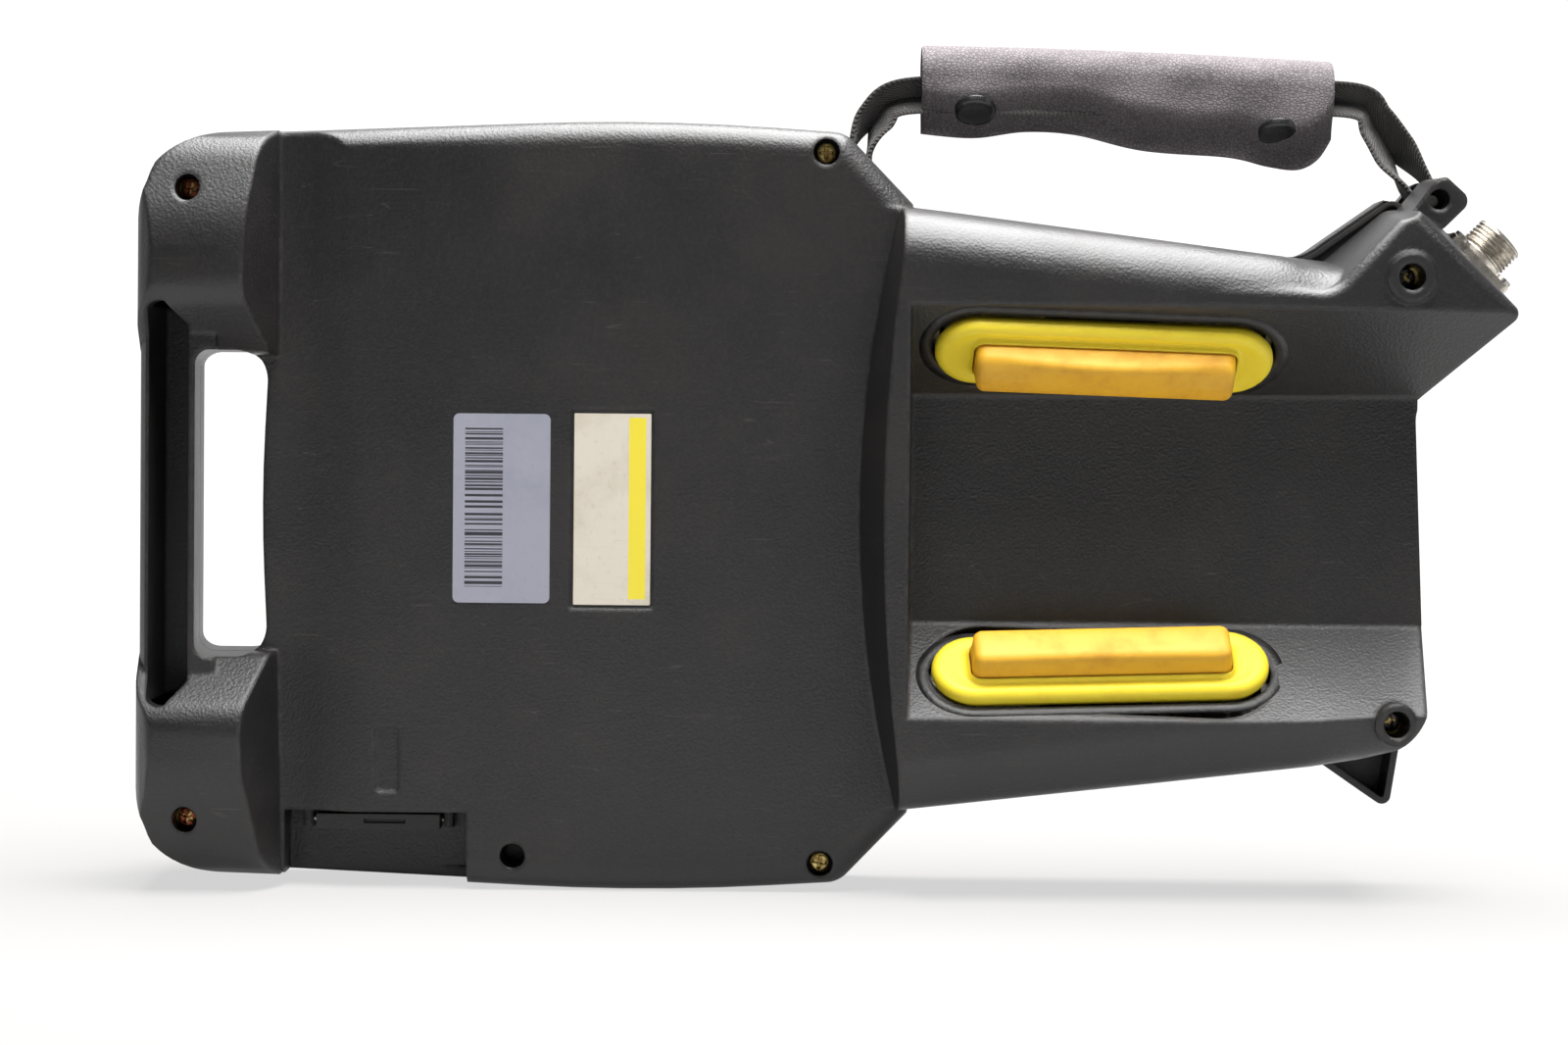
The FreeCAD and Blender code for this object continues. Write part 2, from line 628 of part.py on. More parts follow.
def hex_nut(across_flats, bore, x, h, y0, y1):
    """Hexagon nut on an axis along Y."""
    corner = across_flats / math.sqrt(3)
    points = [(x + corner * math.cos(math.radians(60 * k)),
               h + corner * math.sin(math.radians(60 * k)), 0) for k in range(6)]
    return slab(points, y0, y1).cut(rod(bore, x, h, y0 - 1, y1 + 1))


def estop_plunger():
    """Push rod with the neck that carries the head."""
    stem = rod(5.0, CONTROL_X, ESTOP_H, -6, FRONT_Y + 9)
    neck = rod(3.0, CONTROL_X, ESTOP_H, FRONT_Y + 8, FRONT_Y + 17)
    return stem.fuse(neck).removeSplitter()


def turned(profile, x, h):
    """Body of revolution about an axis along Y; profile is (radius, y) points."""
    points = [Vector(x + r, y, MID_Z + h) for r, y in profile]
    face = Part.Face(Part.makePolygon(points + points[:1]))
    return face.revolve(Vector(x, 0, MID_Z + h), Y_AXIS, 360)


def estop_head():
    """Mushroom head."""
    y = FRONT_Y
    profile = [(3.05, y + 9.2), (9.5, y + 9.2), (9.5, y + 8.4), (14.0, y + 8.4), (15.6, y + 9.8),
               (16.0, y + 13.6), (15.2, y + 16.8), (12.0, y + 19.6), (7.0, y + 21.1),
               (0.0, y + 21.6), (0.0, y + 17.3), (3.05, y + 17.3)]
    return turned(profile, CONTROL_X, ESTOP_H)


# ---- rotary selector ----------------------------------------------------------
def selector_bezel():
    """Ring round the selector knob."""
    ring = rod(14.0, CONTROL_X, SELECTOR_H, FRONT_Y, FRONT_Y + 1.8)
    return ring.cut(rod(6.1, CONTROL_X, SELECTOR_H, 10, 30))


def selector_body():
    """Barrel and contact block of the selector."""
    block = contact_block(SELECTOR_H, -26, 8)
    barrel = rod(6.0, CONTROL_X, SELECTOR_H, 7, FRONT_Y + 1.6)
    return block.fuse(barrel).removeSplitter().cut(rod(3.05, CONTROL_X, SELECTOR_H, -10, 40))


def selector_knob():
    """Knob with a raised finger grip, and its shaft."""
    y = FRONT_Y
    disc = rod(11.5, CONTROL_X, SELECTOR_H, y + 2.2, y + 7.0)
    grip = box(CONTROL_X - 11.0, CONTROL_X + 11.0, y + 6, y + 14.0, MID_Z + SELECTOR_H - 3.2,
               MID_Z + SELECTOR_H + 3.2)
    grip = grip.common(rod(11.2, CONTROL_X, SELECTOR_H, y, y + 20))
    shaft = rod(3.0, CONTROL_X, SELECTOR_H, -6, y + 3)
    return fuse_all([disc, grip, shaft])


# ---- enabling switches ----------------------------------------------------------
def enable_boot():
    """Rubber boot with a slot for the bar and a flange behind the wall."""
    top = pill(BOOT_LENGTH, BOOT_WIDTH, -6.0, BOOT_PROUD)
    top = soften(top, 1.8, lambda m, e: m.z > BOOT_PROUD - 0.1)
    flange = pill(BOOT_LENGTH + 4.4, BOOT_WIDTH + 3.2, -6.0, -3.3)
    half_x = BAR_LENGTH / 2 + 0.5
    half_y = BAR_WIDTH / 2 + 0.5
    slot = Part.makeBox(2 * half_x, 2 * half_y, 20, Vector(-half_x, -half_y, -10))
    return fuse_all([top, flange]).cut(slot)


def enable_bar():
    """Bar the fingers squeeze, with the foot that keeps it in."""
    top = BOOT_PROUD + BAR_PROUD
    bar = Part.makeBox(BAR_LENGTH, BAR_WIDTH, top + 8.4,
                       Vector(-BAR_LENGTH / 2, -BAR_WIDTH / 2, -8.4))
    bar = soften(bar, 1.4, lambda m, e: m.z > -8.3)
    foot = Part.makeBox(BAR_LENGTH + 3, BAR_WIDTH + 3, 2.0,
                        Vector(-BAR_LENGTH / 2 - 1.5, -BAR_WIDTH / 2 - 1.5, -8.4))
    return bar.fuse(foot).removeSplitter()


def enable_bracket():
    """Steel bracket that clamps the boot's flange."""
    plate = Part.makeBox(90, 14, 1.2, Vector(-45, -7, -14.1))
    legs = [Part.makeBox(2.0, 14, 8.1, Vector(s * 44 - 1.0, -7, -14.1)) for s in (-1, 1)]
    hole = Part.makeBox(30, 8, 6, Vector(-15, -4, -16))
    return fuse_all([plate] + legs).cut(hole)


def enable_switch():
    """Three-position contact unit under the bracket, with its plunger."""
    body = Part.makeBox(42, 13, 11.0, Vector(-21, -6.5, -25.1))
    plunger = Part.makeBox(28, 6, 2.0, Vector(-14, -3, -14.8))
    return body.fuse(plunger).removeSplitter()


# ---- plug-in port ---------------------------------------------------------------
def usb_socket():
    """Metal port shell, mouth downwards, with its contact tongue."""
    shell = box(-126.6, -113.5, -14.6, -9.0, 21.0, 37.0)
    shell = shell.cut(box(-126.2, -113.9, -14.2, -9.4, 20.0, 36.0))
    tongue = box(-125.4, -114.7, -11.6, -9.9, 22.5, 36.5)
    back = box(-126.2, -113.9, -14.2, -9.4, 35.5, 36.5)
    return fuse_all([shell, tongue, back])


def usb_cover():
    """Hinged cover of the port with its finger lip."""
    y1 = USB_HINGE_Y
    y0 = y1 - USB_FLAP_REACH
    flap = box(USB_FLAP_LEFT, USB_FLAP_RIGHT, y0, y1, USB_HINGE_Z - 2.0, USB_HINGE_Z + 2.0)
    knuckle = Part.makeCylinder(2.0, USB_FLAP_RIGHT - USB_FLAP_LEFT,
                                Vector(USB_FLAP_LEFT, y1, USB_HINGE_Z), X_AXIS)
    notch = box(-123.5, -112.5, y0 - 1, y0 + 1.2, USB_HINGE_Z - 0.4, USB_HINGE_Z + 0.8)
    return flap.fuse(knuckle).removeSplitter().cut(notch).cut(usb_pin_line(USB_PIN_R + 0.05))


# ---- cable receptacle --------------------------------------------------------------
def socket_flange():
    """Square mounting flange."""
    return socket_plate(21.0, -1.6, 0.9, 2.0).cut(socket_rod(6.6, -3, 3)).cut(
        socket_screw_line(1.3, -3, 3))


def socket_screw_line(radius, low, high):
    """Four round bars at the corners of the flange."""
    bars = []
    for side_a in (-1, 1):
        for side_b in (-1, 1):
            bar = Part.makeCylinder(radius, high - low, Vector(side_a * 8.0, side_b * 8.0, low))
            bar.rotate(Vector(0, 0, 0), Y_AXIS, 90 - SOCKET_ANGLE)
            bar.translate(socket_point(0))
            bars.append(bar)
    return Part.Compound(bars)


def socket_shell():
    """Barrel that takes the cable's coupling nut."""
    barrel = socket_rod(SOCKET_R, 0.9, SOCKET_REACH).fuse(socket_rod(6.6, -9.0, 1.0))
    return barrel.removeSplitter().cut(socket_rod(5.6, -10, SOCKET_REACH + 1))


def socket_insert():
    """Insulating insert."""
    return socket_rod(5.6, -9.0, 3.0)


def socket_pins():
    """Contact pins on one circle and one in the middle."""
    pins = []
    for index in range(8):
        angle = math.radians(45 * index)
        reach = 3.6 if index else 0.0
        pin = Part.makeCylinder(0.5, 6.0, Vector(reach * math.cos(angle), reach * math.sin(angle), 3.0))
        pin.rotate(Vector(0, 0, 0), Y_AXIS, 90 - SOCKET_ANGLE)
        pin.translate(socket_point(0))
        pins.append(pin)
    return Part.Compound(pins)


def socket_screws():
    """Pan-head screws of the flange."""
    screws = []
    shanks = socket_screw_line(1.3, -1.6, 0.95).Solids
    heads = socket_screw_line(2.1, 0.9, 2.2).Solids
    for shank, head in zip(shanks, heads):
        screws.append(shank.fuse(head).removeSplitter())
    return Part.Compound(screws)


# ---- strap -----------------------------------------------------------------------
def ribbon(points, thick, y0, y1):
    """Band that follows (x, height) points, standing edge-on between y0 and y1."""
    left = []
    right = []
    for i, (x, h) in enumerate(points):
        before = points[max(i - 1, 0)]
        after = points[min(i + 1, len(points) - 1)]
        run = Vector(after[0] - before[0], after[1] - before[1], 0).normalize()
        side = Vector(-run.y, run.x, 0) * (thick / 2)
        left.append((x + side.x, h + side.y, 0))
        right.append((x - side.x, h - side.y, 0))
    return slab(left + right[::-1], y0, y1)


def strap_webbing():
    """Loop of webbing: two runs joined round the two pins."""
    y0 = WEB_Y - WEB_WIDTH / 2
    y1 = WEB_Y + WEB_WIDTH / 2
    outer_r = PIN_R + 0.05 + WEB_THICK
    eyes = [rod(outer_r, x, h, y0, y1) for x, h in (LEFT_PIN, RIGHT_PIN)]
    bores = [rod(PIN_R + 0.05, x, h, y0 - 1, y1 + 1) for x, h in (LEFT_PIN, RIGHT_PIN)]
    upper = ribbon([(4.4, 90.6), (4.9, 97.5), (9.5, 105.8), (19.5, WEB_UPPER_H),
                    (140.5, WEB_UPPER_H), (147.5, 106.5), (154.5, 97.5), (161.5, 88.6), (162.5, 82.6)],
                   WEB_THICK, y0, y1)
    lower = ribbon([(9.6, 90.6), (10.0, 96.5), (13.0, 103.8), (19.5, WEB_LOWER_H),
                    (140.5, WEB_LOWER_H), (145.5, 102.5), (150.0, 94.5), (155.0, 87.0), (157.4, 81.4)],
                   WEB_THICK, y0, y1)
    return fuse_all(eyes + [upper, lower]).cut(fuse_all(bores))


def pad_section(x, top, bottom):
    """Teardrop section of the folded pad."""
    points = [(WEB_Y - 9.0, top, 7.0), (WEB_Y + 9.0, top, 7.0),
              (WEB_Y + 9.0, 108.6, 4.0), (WEB_Y + PAD_THICK + 0.4, 103.4, 2.0),
              (WEB_Y + PAD_THICK, bottom, 0.5), (WEB_Y - PAD_THICK, bottom, 0.5),
              (WEB_Y - PAD_THICK - 0.4, 103.4, 2.0), (WEB_Y - 9.0, 108.6, 4.0)]
    return rounded_wire(points, in_yz(x))


def strap_pad():
    """Sheet folded over the webbing, its two layers meeting below it."""
    outer = loft([pad_section(PAD_LEFT, 124.5, 98.5), pad_section(PAD_RIGHT, 120.9, 92.6)])
    inner = across([(WEB_Y - 7.2, 118.8, 5), (WEB_Y + 7.2, 118.8, 5), (WEB_Y + 7.2, 108.6, 1),
                    (WEB_Y + 1.0, 104.2, 0.5), (WEB_Y - 1.0, 104.2, 0.5),
                    (WEB_Y - 7.2, 108.6, 1)], PAD_LEFT - 1, PAD_RIGHT + 1)
    return outer.cut(inner)


def pad_snaps():
    """Caps of the two press studs, one on each layer."""
    caps = []
    for x, h in ((38.0, 102.4), (118.5, 98.6)):
        for side in (-1, 1):
            start = Vector(x, WEB_Y + side * (PAD_THICK + 0.2), MID_Z + h)
            caps.append(Part.makeCylinder(4.8, 2.8, start, Vector(0, side, 0)))
    return Part.Compound(caps)


def strap_pins():
    """Two steel pins the webbing loops round."""
    left = rod(PIN_R, LEFT_PIN[0], LEFT_PIN[1], SEAM, 17.0)
    right = rod(PIN_R, RIGHT_PIN[0], RIGHT_PIN[1], LUG_SEAT_Y, 17.0)
    return Part.Compound([left, right])


# ---- fasteners, labels, lamps ------------------------------------------------------
def cover_screws():
    """Six pan-head screws that hold the two halves together."""
    screws = []
    for x, h, seat in SCREWS:
        head = rod(SCREW_HEAD_R, x, h, seat - 2.0, seat)
        head = soften(head, 0.8, lambda m, e: m.y < seat - 1.9)
        shank = rod(SCREW_SHANK_R, x, h, seat - 0.5, FRONT_Y - 6)
        slots = [Part.makeBox(3.0, 1.0, 0.7, Vector(x - 1.5, seat - 2.1, MID_Z + h - 0.35)),
                 Part.makeBox(0.7, 1.0, 3.0, Vector(x - 0.35, seat - 2.1, MID_Z + h - 1.5))]
        screws.append(head.fuse(shank).removeSplitter().cut(fuse_all(slots)))
    return Part.Compound(screws)


def asset_label():
    """Blank stuck-on label."""
    return slab([(-99.9, 24.3, 1.6), (-74.3, 24.3, 1.6), (-74.3, -25.7, 1.6), (-99.9, -25.7, 1.6)],
                PANEL_Y - 0.2, PANEL_Y)


def rating_label():
    """Blank plate in its shallow recess."""
    return slab([(-68.0, 24.6, 0.3), (-47.7, 24.6, 0.3), (-47.7, -26.0, 0.3), (-68.0, -26.0, 0.3)],
                PANEL_Y + 0.2, PANEL_Y + 0.5)


def status_lamps():
    """Three light pipes beside the screen."""
    return Part.Compound([rod(1.5, -135.2, -20 + 20 * k, 12.0, FRONT_Y + 0.3) for k in range(3)])


def pieces():
    """Every sub-part by its node name."""
    shapes = {
        "rear_cover": rear_cover(), "front_housing": front_housing(),
        "housing_gasket": housing_gasket(), "cover_screws": cover_screws(),
        "display_window": display_window(), "lcd_module": lcd_module(),
        "keysheet": keysheet(), "keypad_board": keypad_board(), "main_board": main_board(),
        "status_lamps": status_lamps(),
        "estop_collar": estop_collar(), "estop_body": estop_body(),
        "estop_nut": hex_nut(24, 8.0, CONTROL_X, ESTOP_H, FRONT_Y - 6, FRONT_Y - 3),
        "estop_plunger": estop_plunger(), "estop_head": estop_head(),
        "selector_bezel": selector_bezel(), "selector_body": selector_body(),
        "selector_nut": hex_nut(19, 6.0, CONTROL_X, SELECTOR_H, FRONT_Y - 6, FRONT_Y - 3),
        "selector_knob": selector_knob(),
        "usb_socket": usb_socket(), "usb_cover": usb_cover(),
        "usb_hinge_pin": usb_pin_line(USB_PIN_R),
        "socket_flange": socket_flange(), "socket_shell": socket_shell(),
        "socket_insert": socket_insert(), "socket_pins": socket_pins(),
        "socket_screws": socket_screws(),
        "strap_webbing": strap_webbing(), "strap_pad": strap_pad(), "pad_snaps": pad_snaps(),
        "strap_pins": strap_pins(),
        "asset_label": asset_label(), "rating_label": rating_label(),
    }
    for side, name in ((1, "upper"), (-1, "lower")):
        shapes["enable_boot_" + name] = on_slope(enable_boot(), side)
        shapes["enable_bar_" + name] = on_slope(enable_bar(), side)
        shapes["enable_bracket_" + name] = on_slope(enable_bracket(), side)
        shapes["enable_switch_" + name] = on_slope(enable_switch(), side)
    return shapes


os.makedirs("parts", exist_ok=True)
if __name__ == "__main__":
    for node, solid in pieces().items():
        export(node, solid)
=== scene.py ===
# Teach pendant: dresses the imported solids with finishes, and adds the strap, the
# enabling bars, the fasteners and the threaded barrel as surfaces of its own.
# Lengths in the classes are in millimetres and are carried into metres by place().

import json
import logging
import math
from dataclasses import dataclass
from dataclasses import field
from enum import Enum

import bpy
import numpy as np
from mathutils import Euler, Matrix
from mathutils import Vector


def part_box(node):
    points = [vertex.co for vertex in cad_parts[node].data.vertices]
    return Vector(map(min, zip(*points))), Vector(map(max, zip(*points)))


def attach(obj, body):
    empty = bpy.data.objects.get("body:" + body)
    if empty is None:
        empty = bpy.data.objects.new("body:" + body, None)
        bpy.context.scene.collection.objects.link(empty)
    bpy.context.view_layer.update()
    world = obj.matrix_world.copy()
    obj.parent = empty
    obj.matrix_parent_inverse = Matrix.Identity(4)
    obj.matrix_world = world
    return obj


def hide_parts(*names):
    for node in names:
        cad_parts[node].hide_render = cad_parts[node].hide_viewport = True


MM = 0.001
WELD = 2e-6          # points closer than this, in metres, are one
BOOT_CAD_RIM = 2.5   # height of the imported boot's rim over its slope
LOG = logging.getLogger("pendant")

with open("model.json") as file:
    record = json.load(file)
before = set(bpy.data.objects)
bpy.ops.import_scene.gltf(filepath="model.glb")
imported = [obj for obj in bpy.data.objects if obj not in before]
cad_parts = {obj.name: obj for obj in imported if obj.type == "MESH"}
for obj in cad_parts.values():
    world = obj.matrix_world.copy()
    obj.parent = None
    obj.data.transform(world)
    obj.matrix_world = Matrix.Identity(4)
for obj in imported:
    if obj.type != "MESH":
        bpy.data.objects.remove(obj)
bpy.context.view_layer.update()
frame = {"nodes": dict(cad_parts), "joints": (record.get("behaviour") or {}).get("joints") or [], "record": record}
CASE_LOW, CASE_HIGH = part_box("rear_cover")
MID_Z = (CASE_LOW.z + CASE_HIGH.z) / 2 / MM


class Body(str, Enum):
    """Rigid bodies of the frame that pieces ride on."""

    CASE = "case"
    UPPER_BAR = "enable_upper"
    LOWER_BAR = "enable_lower"
    PAD = "hand_pad"


def linear(red: float, green: float, blue: float) -> tuple[float, float, float, float]:
    """Turn a display colour of 0 to 255 into scene-linear red, green, blue and alpha.

    Args:
        red: Red, 0 to 255.
        green: Green, 0 to 255.
        blue: Blue, 0 to 255.

    Returns:
        The linear colour with an alpha of 1.
    """
    parts = [channel / 255 for channel in (red, green, blue)]
    opened = [c / 12.92 if c <= 0.04045 else ((c + 0.055) / 1.055) ** 2.4 for c in parts]
    return (opened[0], opened[1], opened[2], 1.0)


Piece = bpy.types.Object
Socket = bpy.types.NodeSocket

# ---- numpy surfaces ---------------------------------------------------------


def point_array(mesh: bpy.types.Mesh) -> np.ndarray:
    """Coordinates of a mesh's points, one row each."""
    points = np.empty(len(mesh.vertices) * 3)
    mesh.vertices.foreach_get("co", points)
    return points.reshape(-1, 3)


def triangle_array(mesh: bpy.types.Mesh) -> np.ndarray:
    """Point numbers of a mesh's triangles, one row each."""
    mesh.calc_loop_triangles()
    corners = np.empty(len(mesh.loop_triangles) * 3, int)
    mesh.loop_triangles.foreach_get("vertices", corners)
    return corners.reshape(-1, 3)


def grid_faces(rows: int, columns: int, wrap_rows: bool, wrap_columns: bool) -> np.ndarray:
    """Corner numbers of the quads of a grid of points.

    Args:
        rows: Points along the first parameter.
        columns: Points along the second parameter.
        wrap_rows: Whether the last row meets the first.
        wrap_columns: Whether the last column meets the first.

    Returns:
        One row of four corner numbers for each quad.
    """
    first = np.arange(rows if wrap_rows else rows - 1)[:, None]
    second = np.arange(columns if wrap_columns else columns - 1)[None, :]
    next_first = (first + 1) % rows
    next_second = (second + 1) % columns
    corners = [first * columns + second, next_first * columns + second,
               next_first * columns + next_second, first * columns + next_second]
    return np.stack(np.broadcast_arrays(*corners), -1).reshape(-1, 4)


def weld(points: np.ndarray, faces: np.ndarray) -> tuple[np.ndarray, list[list[int]]]:
    """Merge points that coincide and drop the corners and faces that vanish with them.

    Args:
        points: One row of coordinates in metres for each point.
        faces: One row of corner numbers for each face.

    Returns:
        The merged points and the faces as lists of corner numbers.
    """
    keys = np.round(points / WELD).astype(np.int64)
    unique, chosen, place = np.unique(keys, axis=0, return_index=True, return_inverse=True)
    corners = place.reshape(-1)[faces]
    kept = corners != np.roll(corners, -1, axis=1)
    enough = kept.sum(1) >= 3
    return points[chosen], [list(c[k]) for c, k in zip(corners[enough], kept[enough])]


def new_mesh(name: str, points: np.ndarray, faces: np.ndarray, crease: float) -> Piece:
    """Make a welded, smooth-shaded mesh object at the origin.

    Args:
        name: Name of the piece.
        points: One row of coordinates in metres for each point.
        faces: One row of corner numbers for each face.
        crease: Angle in degrees past which an edge stays sharp.

    Returns:
        The new object.
    """
    merged, corners = weld(points, faces)
    mesh = bpy.data.meshes.new(name)
    mesh.from_pydata(merged, [], corners)
    mesh.polygons.foreach_set("use_smooth", np.ones(len(mesh.polygons), bool))
    mesh.set_sharp_from_angle(angle=math.radians(crease))
    mesh.update()
    piece = bpy.data.objects.new(name, mesh)
    bpy.context.scene.collection.objects.link(piece)
    return piece


def outward(piece: Piece) -> Piece:
    """Turn a closed surface the right way out if its signed volume is negative."""
    a, b, c = point_array(piece.data)[triangle_array(piece.data)].transpose(1, 0, 2)
    if np.einsum("ij,ij->i", a, np.cross(b, c)).sum() < 0:
        piece.data.flip_normals()
    return piece


def surface(name: str, points: np.ndarray, wrap_rows: bool = False, wrap_columns: bool = False,
            crease: float = 40.0) -> Piece:
    """Make a piece from a grid of points over two parameters.

    Args:
        name: Name of the piece.
        points: Array of rows by columns by three, in metres.
        wrap_rows: Whether the last row meets the first.
        wrap_columns: Whether the last column meets the first.
        crease: Angle in degrees past which an edge stays sharp.

    Returns:
        The new object, its faces pointing outwards.
    """
    rows, columns = points.shape[:2]
    faces = grid_faces(rows, columns, wrap_rows, wrap_columns)
    return outward(new_mesh(name, points.reshape(-1, 3), faces, crease))


def give_uv(piece: Piece, along: np.ndarray, across: np.ndarray) -> None:
    """Store two values per point as the piece's UV map.

    Args:
        piece: A mesh whose points are still in the order of the two arrays.
        along: First coordinate of each point.
        across: Second coordinate of each point.
    """
    mesh = piece.data
    layer = mesh.uv_layers.new(name="weave")
    corners = np.empty(len(mesh.loops), int)
    mesh.loops.foreach_get("vertex_index", corners)
    pairs = np.stack([along, across], -1)[corners]
    layer.data.foreach_set("uv", pairs.reshape(-1))


def place(x: np.ndarray, y: np.ndarray, h: np.ndarray) -> np.ndarray:
    """Points in metres from x, y and height over the centre line in millimetres."""
    return np.stack(np.broadcast_arrays(x, y, h + MID_Z), -1) * MM


def smooth_line(knots: list[tuple[float, ...]], count: int, closed: bool = False) -> np.ndarray:
    """Points along a Catmull-Rom curve through the knots.

    Each stretch is the cubic that passes through its two knots with slopes of half
    the step between each knot's neighbours.

    Args:
        knots: Points that the curve passes through.
        count: Number of points wanted.
        closed: Whether the curve returns to its first knot.

    Returns:
        An array of count points, evenly spaced in length.
    """
    knot = np.array(knots, float)
    stretches = len(knot) if closed else len(knot) - 1
    t = np.linspace(0, stretches, 24 * stretches + 1)
    cell = np.minimum(t.astype(int), stretches - 1)
    s = (t - cell)[:, None]
    pick = (lambda k: knot[k % len(knot)]) if closed else (lambda k: knot[np.clip(k, 0, len(knot) - 1)])
    p0, p1, p2, p3 = (pick(cell + k) for k in (-1, 0, 1, 2))
    line = 0.5 * (2 * p1 + (p2 - p0) * s + (2 * p0 - 5 * p1 + 4 * p2 - p3) * s ** 2
                  + (3 * p1 - p0 - 3 * p2 + p3) * s ** 3)
    travelled = np.concatenate([[0], np.cumsum(np.linalg.norm(np.diff(line, axis=0), axis=1))])
    wanted = np.linspace(0, travelled[-1], count, endpoint=not closed)
    return np.stack([np.interp(wanted, travelled, line[:, k]) for k in range(line.shape[1])], -1)


# ---- node trees --------------------------------------------------------------

Feed = float | tuple | Socket


class Graph:
    """A node tree with short calls that add a node and return its useful output."""

    def __init__(self, tree: bpy.types.NodeTree) -> None:
        """Keep the tree that the calls add to."""
        self.tree = tree

    def plug(self, socket: Socket, value: Feed | None) -> None:
        """Link a socket to another, or set its own value; None leaves it alone."""
        if isinstance(value, Socket):
            self.tree.links.new(value, socket)
        elif value is not None:
            socket.default_value = value

    def node(self, kind: str, feeds: dict[str | int, Feed | None], **settings: object) -> bpy.types.Node:
        """Add a node, set its properties and feed its inputs.

        Args:
            kind: Blender's name of the node type.
            feeds: Input names or numbers and what each one gets.
            **settings: Properties of the node.

        Returns:
            The new node.
        """
        made = self.tree.nodes.new(kind)
        for key, value in settings.items():
            setattr(made, key, value)
        for key, value in feeds.items():
            self.plug(made.inputs[key], value)
        return made

    def math(self, operation: str, a: Feed, b: Feed | None = None, c: Feed | None = None,
             clamp: bool = False) -> Socket:
        """Result of one arithmetic operation on up to three values."""
        return self.node("ShaderNodeMath", {0: a, 1: b, 2: c}, operation=operation,
                         use_clamp=clamp).outputs[0]

    def times(self, a: Feed, b: Feed, clamp: bool = False) -> Socket:
        """Product of two values."""
        return self.math("MULTIPLY", a, b, clamp=clamp)

    def scaled(self, a: Feed, b: Feed, c: Feed, clamp: bool = False) -> Socket:
        """Product of two values, plus a third."""
        return self.math("MULTIPLY_ADD", a, b, c, clamp)

    def shade(self, shader: bpy.types.Node, colour: Feed | None, rough: Feed | None,
              normal: Feed | None = None) -> None:
        """Feed a shader's colour, roughness and normal."""
        for name, value in (("Base Color", colour), ("Roughness", rough), ("Normal", normal)):
            self.plug(shader.inputs[name], value)

    def span(self, value: Feed, low: float, high: float, to_low: float = 0.0,
             to_high: float = 1.0) -> Socket:
        """Value carried smoothly from one range to another, and held at its ends."""
        return self.node("ShaderNodeMapRange", {0: value, 1: low, 2: high, 3: to_low, 4: to_high},
                         interpolation_type="SMOOTHSTEP").outputs[0]

    def mix(self, share: Feed, a: Feed, b: Feed, blend: str = "MIX") -> Socket:
        """Colour between two colours."""
        return self.node("ShaderNodeMix", {0: share, 6: a, 7: b}, data_type="RGBA",
                         blend_type=blend).outputs[2]

    def noise(self, vector: Feed, scale: Feed, detail: float = 2.0,
              roughness: float = 0.5) -> Socket:
        """Cloudy noise from 0 to 1."""
        return self.node("ShaderNodeTexNoise", {"Vector": vector, "Scale": scale, "Detail": detail,
                                                "Roughness": roughness}).outputs[0]

    def cells(self, vector: Feed, scale: Feed, feature: str = "F1") -> Socket:
        """Distance field of scattered cells."""
        return self.node("ShaderNodeTexVoronoi", {"Vector": vector, "Scale": scale},
                         feature=feature).outputs["Distance"]

    def stretched(self, vector: Feed, turn: tuple[float, float, float],
                  scale: tuple[float, float, float]) -> Socket:
        """Vector turned by degrees about three axes and scaled along them."""
        turned = tuple(math.radians(angle) for angle in turn)
        return self.node("ShaderNodeMapping", {"Vector": vector, "Rotation": turned,
                                               "Scale": scale}).outputs[0]

    def bump(self, height: Feed, distance: float, strength: float = 1.0,
             normal: Feed | None = None) -> Socket:
        """Normal tilted by a height whose unit is distance metres."""
        return self.node("ShaderNodeBump", {"Height": height, "Distance": distance,
                                            "Strength": strength, "Normal": normal}).outputs[0]


SOCKETS = {"value": "NodeSocketFloat", "colour": "NodeSocketColor", "vector": "NodeSocketVector"}


class EffectGroup:
    """A shader node group that several finishes share; it is built on first use."""

    name: str = ""
    takes: dict[str, tuple[str, Feed | None]] = {}
    gives: dict[str, str] = {}

    def wire(self, graph: Graph, inputs: bpy.types.NodeOutputs) -> dict[str, Socket]:
        """Build the inside of the group and return what each output gets."""
        raise NotImplementedError

    def tree(self) -> bpy.types.NodeTree:
        """The group's node tree, made if it isn't there yet."""
        known = bpy.data.node_groups.get(self.name)
        if known is not None:
            return known
        tree = bpy.data.node_groups.new(self.name, "ShaderNodeTree")
        for label, (kind, default) in self.takes.items():
            socket = tree.interface.new_socket(name=label, in_out="INPUT", socket_type=SOCKETS[kind])
            if default is not None:
                socket.default_value = default
        for label, kind in self.gives.items():
            tree.interface.new_socket(name=label, in_out="OUTPUT", socket_type=SOCKETS[kind])
        graph = Graph(tree)
        inside = tree.nodes.new("NodeGroupInput")
        outside = tree.nodes.new("NodeGroupOutput")
        for label, socket in self.wire(graph, inside.outputs).items():
            graph.plug(outside.inputs[label], socket)
        return tree

    def use(self, graph: Graph, **feeds: Feed) -> bpy.types.NodeOutputs:
        """Place the group in a material with its own values and return its outputs."""
        placed = graph.node("ShaderNodeGroup", {}, node_tree=self.tree())
        for label, value in feeds.items():
            graph.plug(placed.inputs[label], value)
        return placed.outputs


